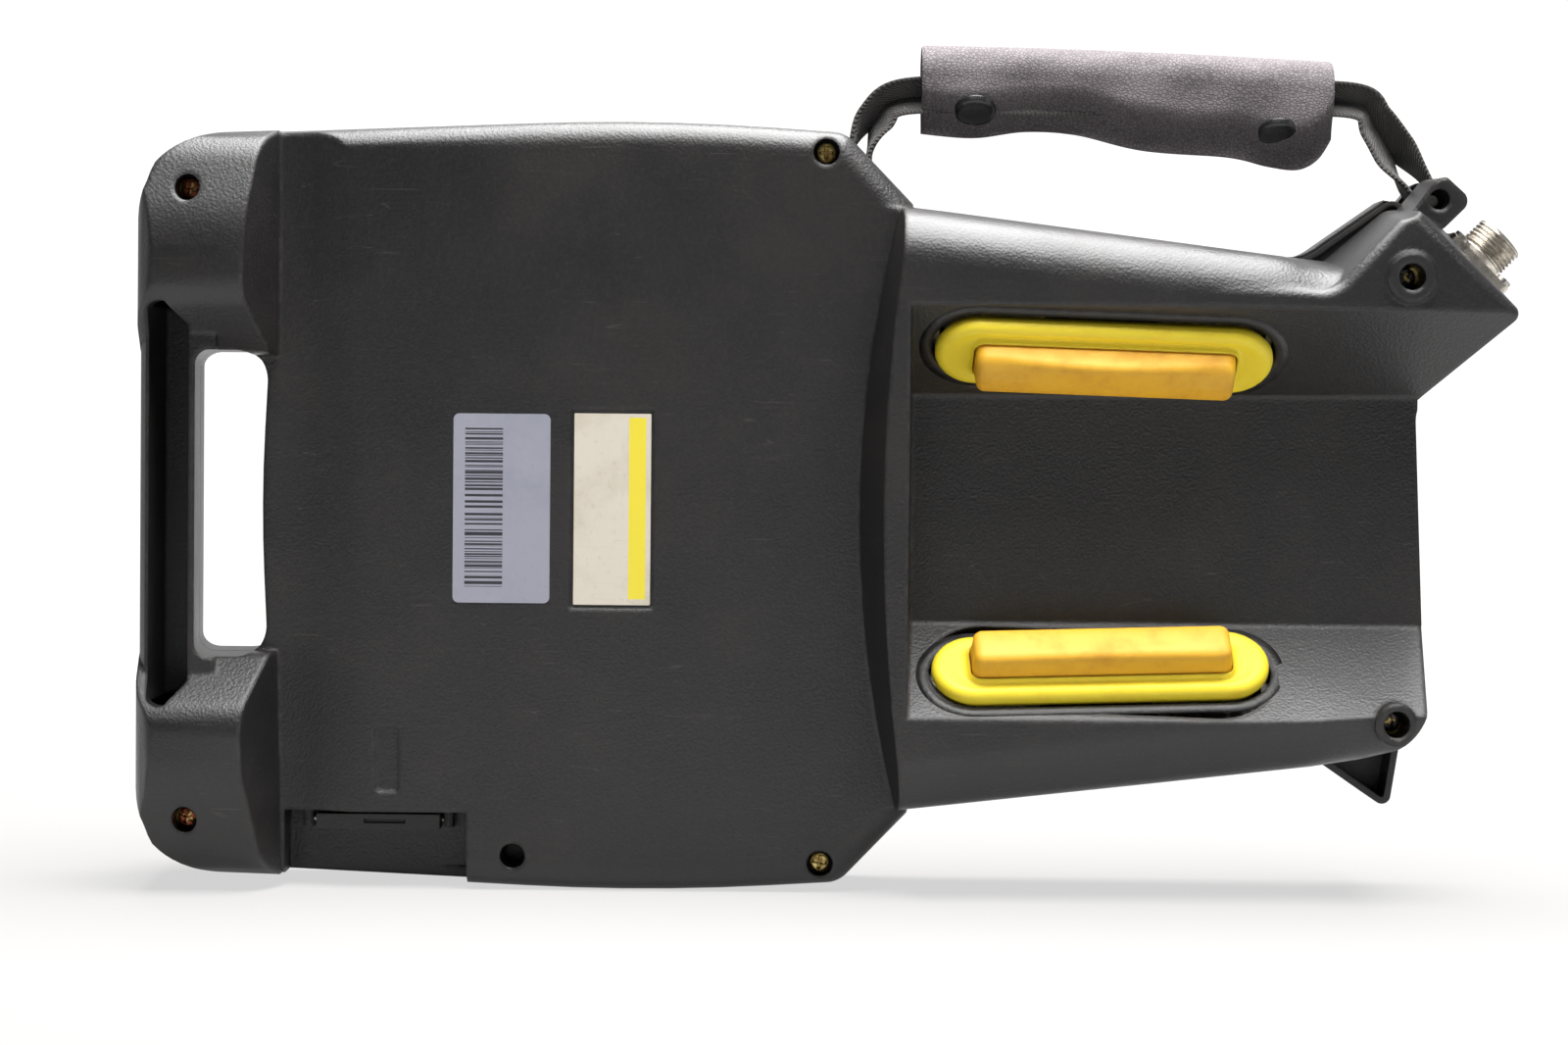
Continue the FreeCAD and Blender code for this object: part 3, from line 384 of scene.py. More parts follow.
class PebbleGrain(EffectGroup):
    """Fine moulded grain: rounded cells of two sizes, broken by noise."""

    name = "pebble_grain"
    takes = {"Vector": ("vector", None), "Scale": ("value", 1400.0)}
    gives = {"Height": "value"}

    def wire(self, graph: Graph, inputs: bpy.types.NodeOutputs) -> dict[str, Socket]:
        """Height: smooth cells, plus half of finer noise."""
        cell = graph.cells(inputs["Vector"], inputs["Scale"], "SMOOTH_F1")
        finer = graph.noise(inputs["Vector"], graph.times(inputs["Scale"], 1.7), 3.0)
        return {"Height": graph.scaled(finer, 0.5, cell)}


class EdgeWear(EffectGroup):
    """Rubbed edges: where the rounded normal leaves the true one, broken by noise."""

    name = "edge_wear"
    takes = {"Vector": ("vector", None), "Radius": ("value", 0.0006), "Patch": ("value", 260.0)}
    gives = {"Mask": "value", "Normal": "vector"}

    def wire(self, graph: Graph, inputs: bpy.types.NodeOutputs) -> dict[str, Socket]:
        """Mask: grows as the cosine between the two normals falls, times patchy noise."""
        bevel = graph.node("ShaderNodeBevel", {"Radius": inputs["Radius"]}, samples=4).outputs[0]
        true = graph.node("ShaderNodeNewGeometry", {}).outputs["Normal"]
        cosine = graph.node("ShaderNodeVectorMath", {0: bevel, 1: true},
                            operation="DOT_PRODUCT").outputs["Value"]
        edge = graph.span(cosine, 0.995, 0.9)
        patch = graph.span(graph.noise(inputs["Vector"], inputs["Patch"], 4.0, 0.6), 0.42, 0.62)
        return {"Mask": graph.times(edge, patch), "Normal": bevel}


class DustFilm(EffectGroup):
    """Thin dirt: broad clouds with a fine speckle in them."""

    name = "dust_film"
    takes = {"Vector": ("vector", None), "Cover": ("value", 0.5)}
    gives = {"Mask": "value"}

    def wire(self, graph: Graph, inputs: bpy.types.NodeOutputs) -> dict[str, Socket]:
        """Mask: clouds plus speckle, times the cover."""
        cloud = graph.span(graph.noise(inputs["Vector"], 28.0, 4.0, 0.6), 0.38, 0.68)
        speckle = graph.span(graph.noise(inputs["Vector"], 900.0, 3.0, 0.7), 0.42, 0.66)
        both = graph.scaled(speckle, 0.6, graph.times(cloud, 0.5))
        return {"Mask": graph.times(both, inputs["Cover"], clamp=True)}


class Scratches(EffectGroup):
    """Hair scratches in three directions, cut short by noise, and small flecks."""

    name = "scratches"
    takes = {"Vector": ("vector", None), "Amount": ("value", 0.5)}
    gives = {"Mask": "value"}

    def wire(self, graph: Graph, inputs: bpy.types.NodeOutputs) -> dict[str, Socket]:
        """Mask: narrow bands of stretched noise where a broad noise allows them."""
        masks = []
        for angle, shift in ((28.0, 90.0), (-64.0, 70.0), (83.0, 110.0)):
            long = graph.stretched(inputs["Vector"], (0, angle, 0), (9.0, 20.0, shift * 5))
            band = graph.math("ABSOLUTE", graph.math("SUBTRACT", graph.noise(long, 1.0, 1.0), 0.5))
            thin = graph.span(band, 0.004, 0.0)
            short = graph.span(graph.noise(inputs["Vector"], shift, 1.0), 0.56, 0.66)
            masks.append(graph.times(thin, short))
        fleck = graph.span(graph.cells(inputs["Vector"], 190.0), 0.07, 0.03)
        allowed = graph.span(graph.noise(inputs["Vector"], 40.0, 2.0), 0.6, 0.7)
        masks.append(graph.times(fleck, allowed))
        total = masks[0]
        for mask in masks[1:]:
            total = graph.math("MAXIMUM", total, mask)
        return {"Mask": graph.times(total, inputs["Amount"])}


class TwillWeave(EffectGroup):
    """Woven band: diagonal ribs over crossing yarns, on the piece's own UV map."""

    name = "twill_weave"
    takes = {"Vector": ("vector", None)}
    gives = {"Height": "value", "Shade": "value"}

    def wire(self, graph: Graph, inputs: bpy.types.NodeOutputs) -> dict[str, Socket]:
        """Height: a sine along the diagonal, plus the sine of the yarns across it."""
        parts = graph.node("ShaderNodeSeparateXYZ", {0: inputs["Vector"]}).outputs
        diagonal = graph.math("ADD", parts[0], parts[1])
        rib = graph.math("SINE", graph.times(diagonal, 5200.0))
        yarn = graph.math("SINE", graph.times(parts[1], 9000.0))
        height = graph.scaled(yarn, 0.35, rib)
        fuzz = graph.noise(inputs["Vector"], 700.0, 3.0)
        return {"Height": graph.scaled(height, 0.5, 0.5),
                "Shade": fuzz}


# ---- finishes -----------------------------------------------------------------


def empty_graph(owner: bpy.types.Material | bpy.types.World) -> Graph:
    """Give a material or world a node tree with nothing in it."""
    owner.use_nodes = True
    owner.node_tree.nodes.clear()
    return Graph(owner.node_tree)


@dataclass(frozen=True)
class Finish:
    """A procedural material; the subclasses wire it."""

    name: str

    def start(self) -> tuple[bpy.types.Material, Graph, bpy.types.Node, Socket]:
        """An empty material with its shader, and the piece's own coordinates."""
        material = bpy.data.materials.new(self.name + "_finish")
        graph = empty_graph(material)
        shader = graph.node("ShaderNodeBsdfPrincipled", {})
        graph.node("ShaderNodeOutputMaterial", {"Surface": shader.outputs[0]})
        where = graph.node("ShaderNodeTexCoord", {}).outputs["Object"]
        return material, graph, shader, where

    def wire(self) -> bpy.types.Material:
        """Build the material."""
        raise NotImplementedError

    def material(self) -> bpy.types.Material:
        """The finish's material, made on first use."""
        known = bpy.data.materials.get(self.name + "_finish")
        return known if known is not None else self.wire()

    def on(self, *pieces: Piece) -> None:
        """Make this the only material of each piece, in the slots that it has."""
        for piece in pieces:
            if not piece.material_slots:
                piece.data.materials.append(self.material())
            for slot in piece.material_slots:
                slot.material = self.material()


@dataclass(frozen=True)
class Moulded(Finish):
    """Grained plastic or rubber with rubbed edges, dust and hair scratches."""

    colour: tuple = (0.02, 0.02, 0.02, 1.0)
    worn: tuple = (0.08, 0.08, 0.08, 1.0)
    dust: tuple = (0.12, 0.1, 0.08, 1.0)
    rough: float = 0.5
    grain_scale: float = 1400.0
    grain_depth: float = 0.00005
    cover: float = 0.25
    scratch: float = 0.35
    wear: float = 0.5
    edge: float = 0.0006
    mottle: float = 0.12

    def wire(self) -> bpy.types.Material:
        """Colour from mottle, dust, scratches and wear; gloss follows the same masks."""
        material, graph, shader, where = self.start()
        wear = EdgeWear().use(graph, Vector=where, Radius=self.edge)
        dust = DustFilm().use(graph, Vector=where, Cover=self.cover)["Mask"]
        lines = Scratches().use(graph, Vector=where, Amount=self.scratch)["Mask"]
        grain = PebbleGrain().use(graph, Vector=where, Scale=self.grain_scale)["Height"]
        cloud = graph.noise(where, 45.0, 4.0)
        darker = tuple(c * (1 - self.mottle) for c in self.colour[:3]) + (1.0,)
        lighter = tuple(c * (1 + self.mottle) for c in self.colour[:3]) + (1.0,)
        colour = graph.mix(cloud, darker, lighter)
        colour = graph.mix(dust, colour, self.dust)
        colour = graph.mix(graph.times(wear["Mask"], self.wear), colour, self.worn)
        colour = graph.mix(lines, colour, self.worn)
        gloss = graph.scaled(dust, 0.25, self.rough)
        varied = graph.scaled(cloud, 0.12, gloss, clamp=True)
        graph.shade(shader, colour, varied, graph.bump(grain, self.grain_depth, 1.0, wear["Normal"]))
        return material


@dataclass(frozen=True)
class Plated(Finish):
    """Metal with a fine brushed or tumbled surface and dull patches."""

    colour: tuple = (0.6, 0.58, 0.54, 1.0)
    dull: tuple = (0.3, 0.28, 0.25, 1.0)
    rough: float = 0.28

    def wire(self) -> bpy.types.Material:
        """Patches of duller, rougher metal, with fine pitting."""
        material, graph, shader, where = self.start()
        patch = graph.span(graph.noise(where, 420.0, 5.0, 0.65), 0.4, 0.7)
        shader.inputs["Metallic"].default_value = 1.0
        wear = EdgeWear().use(graph, Vector=where, Radius=0.0002)
        pits = graph.noise(where, 2600.0, 3.0)
        graph.shade(shader, graph.mix(patch, self.colour, self.dull), graph.scaled(patch, 0.3, self.rough),
                    graph.bump(pits, 0.000004, 1.0, wear["Normal"]))
        return material


@dataclass(frozen=True)
class StainedRubber(Finish):
    """Bright rubber that has gone darker where fingers and dirt reach it."""

    colour: tuple = (0.6, 0.5, 0.03, 1.0)
    stain: tuple = (0.35, 0.16, 0.02, 1.0)
    grime: tuple = (0.05, 0.04, 0.02, 1.0)
    rough: float = 0.55
    stain_low: float = 0.45
    stain_high: float = 0.7
    edge: float = 0.0012

    def wire(self) -> bpy.types.Material:
        """Clouded stains, grime in specks, and a rubbed tint along the edges."""
        material, graph, shader, where = self.start()
        cloud = graph.span(graph.noise(where, 90.0, 6.0, 0.65), self.stain_low, self.stain_high)
        wear = EdgeWear().use(graph, Vector=where, Radius=self.edge, Patch=160.0)
        tint = graph.math("MAXIMUM", cloud, wear["Mask"])
        colour = graph.mix(graph.times(tint, 0.4), self.colour, self.stain)
        specks = graph.span(graph.noise(where, 620.0, 5.0, 0.75), 0.6, 0.74)
        colour = graph.mix(graph.times(specks, 0.14), colour, self.grime)
        skin = graph.noise(where, 1500.0, 4.0, 0.6)
        graph.shade(shader, colour, graph.scaled(tint, 0.15, self.rough),
                    graph.bump(skin, 0.00006, 1.0, wear["Normal"]))
        return material


@dataclass(frozen=True)
class Leatherette(Finish):
    """Embossed leather-like sheet: small rounded cells with fine creases."""

    colour: tuple = linear(118, 112, 114)
    hollow: tuple = linear(86, 81, 83)
    rough: float = 0.66

    def wire(self) -> bpy.types.Material:
        """Cell walls darken and sink; broad noise varies shade and gloss."""
        material, graph, shader, where = self.start()
        warp = graph.noise(where, 300.0, 2.0)
        leaning = graph.stretched(where, (0, 12, 0), (1.0, 1.0, 1.25))
        cell = graph.cells(leaning, 950.0, "DISTANCE_TO_EDGE")
        wall = graph.span(cell, 0.0, 0.22)
        crease = graph.span(graph.noise(where, 160.0, 5.0, 0.6), 0.44, 0.5)
        height = graph.times(wall, graph.scaled(crease, 0.25, 0.75))
        colour = graph.mix(wall, self.hollow, self.colour)
        colour = graph.mix(graph.times(warp, 0.5), colour, self.hollow)
        graph.shade(shader, colour, graph.scaled(warp, 0.2, self.rough), graph.bump(height, 0.0001))
        shader.inputs["Specular IOR Level"].default_value = 0.2
        return material


@dataclass(frozen=True)
class Woven(Finish):
    """Woven strap: twill ribs on the piece's UV map."""

    colour: tuple = linear(42, 40, 39)
    light: tuple = linear(78, 74, 70)

    def wire(self) -> bpy.types.Material:
        """Ribs catch the light on their crowns, and loose fibre varies the shade."""
        material, graph, shader, where = self.start()
        spot = graph.node("ShaderNodeUVMap", {}, uv_map="weave").outputs[0]
        weave = TwillWeave().use(graph, Vector=spot)
        crown = graph.times(weave["Height"], weave["Shade"])
        shader.inputs["Sheen Weight"].default_value = 0.25
        graph.shade(shader, graph.mix(crown, self.colour, self.light), 0.85,
                    graph.bump(weave["Height"], 0.0002))
        return material


@dataclass(frozen=True)
class Sticker(Finish):
    """Printed film: plain field, soft stains and scuffs, no lettering."""

    colour: tuple = linear(205, 212, 222)
    stain: tuple = linear(150, 155, 165)
    rough: float = 0.4

    def wire(self) -> bpy.types.Material:
        """Stains from two sizes of noise; scuffs roughen the film."""
        material, graph, shader, where = self.start()
        cloud = graph.span(graph.noise(where, 60.0, 5.0, 0.6), 0.45, 0.75)
        fine = graph.span(graph.noise(where, 500.0, 4.0, 0.7), 0.55, 0.75)
        dirt = graph.scaled(fine, 0.35, graph.times(cloud, 0.5), clamp=True)
        colour = graph.mix(dirt, self.colour, self.stain)
        lines = Scratches().use(graph, Vector=where, Amount=0.5)["Mask"]
        graph.shade(shader, graph.mix(lines, colour, self.stain), graph.scaled(dirt, 0.3, self.rough),
                    graph.bump(fine, 0.00002))
        return material


@dataclass(frozen=True)
class PrintedSticker(Sticker):
    """Printed film with one inked field: plain, or cut into generic bars."""

    ink: tuple = linear(40, 40, 46)
    low: tuple[float, float] = (0.0, 0.0)
    high: tuple[float, float] = (0.0, 0.0)
    bars: bool = False

    def wire(self) -> bpy.types.Material:
        """Ink inside the field's corners, over the plain film."""
        material = super().wire()
        graph = Graph(material.node_tree)
        shader = next(n for n in material.node_tree.nodes if n.type == "BSDF_PRINCIPLED")
        film = shader.inputs["Base Color"].links[0].from_socket
        where = graph.node("ShaderNodeTexCoord", {}).outputs["Object"]
        x, _, z = graph.node("ShaderNodeSeparateXYZ", {0: where}).outputs
        inside = graph.math("GREATER_THAN", x, self.low[0])
        for value, operation, limit in ((x, "LESS_THAN", self.high[0]), (z, "GREATER_THAN", self.low[1]),
                                        (z, "LESS_THAN", self.high[1])):
            inside = graph.times(inside, graph.math(operation, value, limit))
        if self.bars:
            line = graph.node("ShaderNodeCombineXYZ", {2: z}).outputs[0]
            inside = graph.times(inside, graph.math(
                "GREATER_THAN", graph.noise(line, 1500.0, 1.0), 0.5))
        graph.plug(shader.inputs["Base Color"], graph.mix(inside, film, self.ink))
        return material


@dataclass(frozen=True)
class Clear(Finish):
    """Clear scratch-resistant panel."""

    def wire(self) -> bpy.types.Material:
        """Transmission with faint wiping marks in the gloss."""
        material, graph, shader, where = self.start()
        shader.inputs["Base Color"].default_value = (0.8, 0.82, 0.84, 1.0)
        shader.inputs["Transmission Weight"].default_value = 1.0
        marks = graph.noise(graph.stretched(where, (0, 30, 0), (30, 30, 260)), 1.0, 4.0)
        graph.plug(shader.inputs["Roughness"], graph.span(marks, 0.3, 0.9, 0.03, 0.14))
        return material


class Palette:
    """Every finish of the pendant."""

    shell = Moulded("shell_charcoal", linear(17, 17, 19), linear(70, 66, 63), linear(76, 66, 56),
                    rough=0.36, cover=0.13, scratch=0.5, wear=0.35, edge=0.002, grain_depth=0.00008)
    front = Moulded("front_charcoal", linear(20, 20, 22), linear(64, 61, 60), linear(66, 58, 50),
                    rough=0.38, cover=0.14, scratch=0.3, wear=0.3)
    black = Moulded("black_moulding", linear(26, 26, 27), linear(70, 68, 66), linear(70, 62, 52),
                    rough=0.42, cover=0.15, scratch=0.3, wear=0.5, edge=0.0004)
    seal = Moulded("seal_rubber", linear(20, 20, 21), linear(50, 48, 46), linear(70, 62, 52),
                   rough=0.7, scratch=0.0, wear=0.2)
    red = Moulded("stop_red", linear(172, 22, 20), linear(210, 90, 80), linear(120, 60, 50), rough=0.3,
                  grain_depth=0.00001, cover=0.1, scratch=0.25, wear=0.3)
    collar = Moulded("collar_yellow", linear(232, 190, 30), linear(240, 215, 120),
                     linear(150, 130, 80), rough=0.4, grain_depth=0.00001, cover=0.2)
    keys = Moulded("key_membrane", linear(142, 145, 150), linear(180, 182, 184),
                   linear(120, 115, 105), rough=0.45, grain_depth=0.00003, cover=0.15, edge=0.0005)
    board = Moulded("board_green", linear(28, 92, 58), linear(120, 150, 120), linear(90, 90, 70),
                    rough=0.35, grain_depth=0.00001, cover=0.1)
    screen = Moulded("screen_dark", linear(34, 38, 44), linear(60, 62, 66), linear(60, 58, 54),
                     rough=0.25, grain_depth=0.000005, cover=0.05, scratch=0.0)
    lamp = Moulded("lamp_pipe", linear(96, 150, 96), linear(190, 215, 190), linear(120, 130, 110),
                   rough=0.25, grain_depth=0.000005, cover=0.05, scratch=0.0)
    boot = StainedRubber("boot_yellow", linear(236, 212, 44), linear(220, 150, 36),
                         linear(96, 84, 30), stain_low=0.5, stain_high=0.85, edge=0.0008)
    bar = StainedRubber("bar_amber", linear(224, 170, 34), linear(176, 104, 34),
                        linear(92, 58, 26), stain_low=0.42, stain_high=0.72, edge=0.0022)
    nickel = Plated("nickel_plate", linear(196, 190, 180), linear(140, 134, 124), rough=0.26)
    steel = Plated("pin_steel", linear(170, 168, 164), linear(120, 116, 110), rough=0.3)
    zinc = Plated("zinc_yellow", linear(206, 184, 118), linear(150, 122, 66), rough=0.3)
    zinc_red = Plated("zinc_red", linear(150, 84, 58), linear(84, 44, 34), rough=0.35)
    steel_dark = Plated("steel_dark", linear(96, 92, 90), linear(60, 56, 54), rough=0.35)
    leather = Leatherette("pad_leatherette")
    webbing = Woven("webbing_twill")
    cap = Moulded("stud_black", linear(30, 30, 31), linear(80, 78, 76), linear(70, 64, 56), rough=0.2,
                  grain_depth=0.000004, cover=0.1, scratch=0.3, wear=0.3, edge=0.0005)
    grey_label = PrintedSticker("label_grey", linear(148, 148, 160), linear(128, 132, 144),
                                low=(-0.0968, 0.0805), high=(-0.0868, 0.1225), bars=True)
    cream_label = PrintedSticker("label_cream", linear(206, 198, 184), linear(170, 160, 136),
                                 ink=linear(226, 208, 60), low=(-0.0535, 0.0775), high=(-0.0490, 0.1255))
    clear = Clear("clear_panel")


# ---- pieces from the frame ------------------------------------------------------


def smooth_step(value: np.ndarray, low: float, high: float) -> np.ndarray:
    """0 below low, 1 above high and a smooth climb between them."""
    share = np.clip((value - low) / (high - low), 0, 1)
    return share ** 2 * (3 - 2 * share)


@dataclass(frozen=True)
class Draft:
    """Mould taper and finer outline that the plainer solids leave out, in millimetres.

    The handle end is carried along x from old to new stations. At the receptacle's
    corner each guide point moves by one step at the seam and another at the crest;
    between guides the steps are averaged by the inverse cube of the distance.
    """

    seam: float = -0.4
    crest: float = -41.6
    guides: tuple = (
        ((185.6, 53.6), (-1.0, 1.0), (-7.0, -1.0)), ((150.6, 88.6), (0.0, -2.4), (-1.0, -7.4)),
        ((129.5, 66.0), (-3.0, -0.6), (2.0, -2.5)), ((157.6, 29.0), (-1.7, 0.2), (-2.9, 2.2)),
        ((151.5, 62.6), (-1.9, -0.6), (-1.9, -0.6)), ((159.9, 82.2), (-1.0, 0.8), (-1.0, 0.8)),
        ((172.8, 65.6), (-2.4, 0.8), (-4.4, -1.2)), ((157.2, -60.6), (-1.2, -1.2), (-2.4, 1.0)),
        ((147.9, -55.4), (-0.6, 1.2), (-0.6, 1.2)), ((157.4, -15.0), (1.0, 0.0), (1.0, 0.0)),
        ((118.0, 44.0), (0.0, 0.0), (0.0, 0.0)), ((118.0, -44.0), (0.0, 0.0), (0.0, 0.0)),
        ((120.0, 0.0), (0.0, 0.0), (0.0, 0.0)), ((112.0, 66.0), (0.0, 0.0), (0.0, 0.0)),
        ((112.0, -68.0), (0.0, 0.0), (0.0, 0.0)))

    def handle(self, x: np.ndarray, y: np.ndarray, h: np.ndarray) -> np.ndarray:
        """New x of points at the handle end."""
        gap = -170.1 - (y - self.seam) * 0.102
        rib = np.minimum(-166.5 - (y + 48) * 0.1167, gap - 1.6)
        port = smooth_step(-h, 72, 79)
        beyond = [-190.0, -185.2, -165.0, -149.2, -146.6, -143.9, -135.2, -125.7, -104.0]
        strip = np.array([0, 0, 0, -2.0, -2.6, -2.9, -1.6, -2.5, 0])
        lean = 2.0 * np.clip((y - self.seam) / (self.crest - self.seam), 0, 1) * smooth_step(-x, 178, 183)
        moved = np.array([1.8, 1.8, 0.6, 0, 0, 0, 0, 0, 0])
        plain = x + np.interp(x, beyond, moved + strip) * (1 - port)
        plain = plain + np.interp(x, beyond, moved + strip * 0.5) * port
        step = (x > -167.7) & (x < -149.0)
        inner = np.where(x < -177.7, np.interp(x, [-190.0, -185.2, -177.7], [-188.2, -183.4, -179.2]),
                         np.where(x < -167.7, -179.2 + (x + 177.7) / 10.0 * (rib + 179.2), plain))
        share = (x + 167.7) / 2.2
        inner = np.where(step & (x <= -165.5), rib + share * (gap - rib), inner)
        share = np.clip((x + 165.5) / 16.3, 0, 1)
        inner = np.where((x > -165.5) & (x < -149.2), gap + share * (-151.2 - gap), inner)
        near = 1 - smooth_step(np.abs(h), 48, 57)
        return np.where(x < -103, plain + (inner - plain) * near + lean, x)

    def corner(self, x: np.ndarray, y: np.ndarray, h: np.ndarray) -> tuple[np.ndarray, np.ndarray]:
        """Steps in x and height at the receptacle's corner."""
        depth = np.clip((y - self.seam) / (self.crest - self.seam), 0, 1)
        total = np.zeros_like(x)
        steps = [np.zeros_like(x), np.zeros_like(x)]
        for (gx, gh), foot, top in self.guides:
            weight = 1 / (((x - gx) ** 2 + (h - gh) ** 2) ** 1.5 + 1.0)
            total += weight
            for axis in range(2):
                steps[axis] += weight * (foot[axis] + (top[axis] - foot[axis]) * depth)
        window = smooth_step(x, 100, 122) / total
        return steps[0] * window, steps[1] * window

    def carry(self, points: np.ndarray) -> np.ndarray:
        """Points in metres, each moved to where the finer form has it."""
        x, y, h = points[..., 0] / MM, points[..., 1] / MM, points[..., 2] / MM - MID_Z
        step_x, step_h = self.corner(x, y, h)
        return place(self.handle(x, y, h) + step_x, y, h + step_h)

    def shift(self, x: float, y: float, h: float) -> tuple[float, float]:
        """Steps in x and height of one point in millimetres."""
        before = place(np.array([x]), np.array([y]), np.array([h]))
        step = (self.carry(before) - before)[0] / MM
        return float(step[0]), float(step[2])


DRAFT = Draft()
SOCKET_NODES = ("socket_flange", "socket_insert", "socket_screws", "socket_pins")
SOCKET_STEP = (-2.4, 0.8)
FITTED_NODES = ("rear_cover", "front_housing", "housing_gasket", "strap_pins")


def merged_copy(node: str, body: str, finish: Finish, crease: float = 30.0) -> Piece:
    """Stand a welded, smooth-shaded copy of a CAD node in its place, drafted where it is due.

    Args:
        node: Name of the CAD node.
        body: Body that the copy rides on.
        finish: Finish of the copy.
        crease: Angle in degrees past which an edge stays sharp.

    Returns:
        The copy.
    """
    mesh = frame["nodes"][node].data
    points = point_array(mesh)
    if node in SOCKET_NODES:
        points = points + np.array([SOCKET_STEP[0], 0, SOCKET_STEP[1]]) * MM
    elif node in FITTED_NODES:
        points = DRAFT.carry(points)
    copy = new_mesh(node + "_skin", points, triangle_array(mesh), crease)
    return stand_in(copy, body, finish, node)


def stand_in(piece: Piece, body: str, finish: Finish, *nodes: str) -> Piece:
    """Finish a new piece, let it ride on its body and replace the nodes it stands for."""
    finish.on(piece)
    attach(piece, body)
    if nodes:
        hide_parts(*nodes)
    return piece


BODY_OF = {node: body for body, nodes in frame["record"]["behaviour"]["bodies"].items()
           for node in nodes}


@dataclass
class Housing:
    """Both housing halves and every rigid piece whose CAD shape is the real one."""

    smooth: dict[str, Finish] = field(default_factory=lambda: {
        "rear_cover": Palette.shell, "front_housing": Palette.front,
        "estop_head": Palette.red, "estop_collar": Palette.collar,
        "selector_bezel": Palette.nickel, "selector_knob": Palette.black,
        "status_lamps": Palette.lamp, "usb_cover": Palette.black,
        "keysheet": Palette.keys, "socket_flange": Palette.nickel,
        "socket_insert": Palette.black, "strap_pins": Palette.steel, "socket_pins": Palette.zinc,
        "asset_label": Palette.grey_label, "rating_label": Palette.cream_label,
        "estop_plunger": Palette.black, "usb_hinge_pin": Palette.steel,
        "housing_gasket": Palette.seal})
    plain: dict[str, Finish] = field(default_factory=lambda: {
        "display_window": Palette.clear, "lcd_module": Palette.screen,
        "keypad_board": Palette.board, "main_board": Palette.board,
        "estop_body": Palette.black, "estop_nut": Palette.nickel,
        "selector_body": Palette.black, "selector_nut": Palette.nickel,
        "usb_socket": Palette.nickel,
        "enable_bracket_upper": Palette.steel, "enable_bracket_lower": Palette.steel,
        "enable_switch_upper": Palette.black, "enable_switch_lower": Palette.black})

    def build(self) -> list[Piece]:
        """Copy and smooth what is curved, and finish what is flat or hidden."""
        made = [merged_copy(node, BODY_OF[node], finish) for node, finish in self.smooth.items()]
        for node, finish in self.plain.items():
            finish.on(frame["nodes"][node])
        return made


@dataclass
class SlopeFrame:
    """Directions of one rail's inner slope: along the bar, across it and out of it."""

    joint: str
    node: str
    tilt: float = 2.5

    def axes(self) -> np.ndarray:
        """Rows: along, across and out, as unit vectors in the frame."""
        inward = next(j["axis"] for j in frame["joints"] if j["name"] == self.joint)
        out = -np.array(inward, float)
        out /= np.linalg.norm(out)
        up = np.array([0.0, out[2], -out[1]])
        level = np.array([1.0, 0.0, 0.0])
        lean = math.radians(self.tilt) * math.copysign(1.0, inward[2])
        up *= math.copysign(1.0, up[2]) * math.copysign(1.0, inward[2])
        along = level * math.cos(lean) - up * math.copysign(1.0, up[2]) * math.sin(lean)
        return np.stack([along, np.cross(out, along), out])

    def extent(self) -> tuple[np.ndarray, np.ndarray]:
        """Lowest and highest reach of the CAD node along the three axes, in metres."""
        local = point_array(frame["nodes"][self.node].data) @ self.axes().T
        return local.min(0), local.max(0)


def rounded_ring(half_x: float, half_y: float, radius: float) -> np.ndarray:
    """Rounded rectangle with the same number of points on each run and corner.

    Args:
        half_x: Half length.
        half_y: Half width.
        radius: Corner radius, at most half the width.

    Returns:
        Points counter-clockwise, two coordinates each.
    """
    run = np.linspace(0, 1, 25)
    turn = np.linspace(math.pi / 2, 0, 15)
    top = np.stack([run * (half_x - radius), np.full_like(run, half_y)], -1)
    corner = np.stack([half_x - radius + radius * np.cos(turn),
                       half_y - radius + radius * np.sin(turn)], -1)
    side = np.stack([np.full(5, half_x), np.linspace(half_y - radius, 0, 5)], -1)
    first = np.concatenate([top, corner[1:], side[1:]])
    right = np.concatenate([first, first[-2::-1] * (1, -1)])
    return np.concatenate([right, right[-2:0:-1] * (-1, 1)])


@dataclass
class SlopePiece:
    """Rubber piece that stands on a rail's inner slope, made of stacked rings.

    Each ring is half length, half width, corner radius and height over the slope.
    """

    side: str
    cap: bool = True

    def slope(self) -> tuple[np.ndarray, np.ndarray]:
        """Axes of the slope, and the point on its face in the middle of the boot."""
        boot = SlopeFrame(f"enable_{self.side}_press", f"enable_boot_{self.side}")
        low, high = boot.extent()
        middle = (low + high) / 2
        middle[2] = high[2] - BOOT_CAD_RIM * MM
        return boot.axes(), middle

    def rings(self) -> list[tuple[float, float, float, float]]:
        """The rings, from the outer foot inwards and upwards."""
        raise NotImplementedError

    def shaped(self, grid: np.ndarray) -> np.ndarray:
        """Last change to the rings' points, in millimetres over the slope."""
        return grid

    def build(self, name: str, body: str, finish: Finish, *nodes: str) -> Piece:
        """Stack the rings, cap them or join the last to the first, and set them on the slope."""
        axes, middle = self.slope()
        stack = []
        for half_x, half_y, radius, height in self.rings():
            ring = rounded_ring(half_x, half_y, min(radius, half_y))
            stack.append(np.column_stack([ring, np.full(len(ring), height)]))
        grid = self.shaped(np.stack(stack))
        if self.cap:
            ends = [np.broadcast_to(grid[row].mean(0), grid[:1].shape) for row in (0, -1)]
            grid = np.concatenate([ends[0], grid, ends[1]])
        world = (grid * MM + middle) @ axes
        piece = surface(name, world, wrap_rows=not self.cap, wrap_columns=True, crease=75.0)
        return stand_in(piece, body, finish, *nodes)


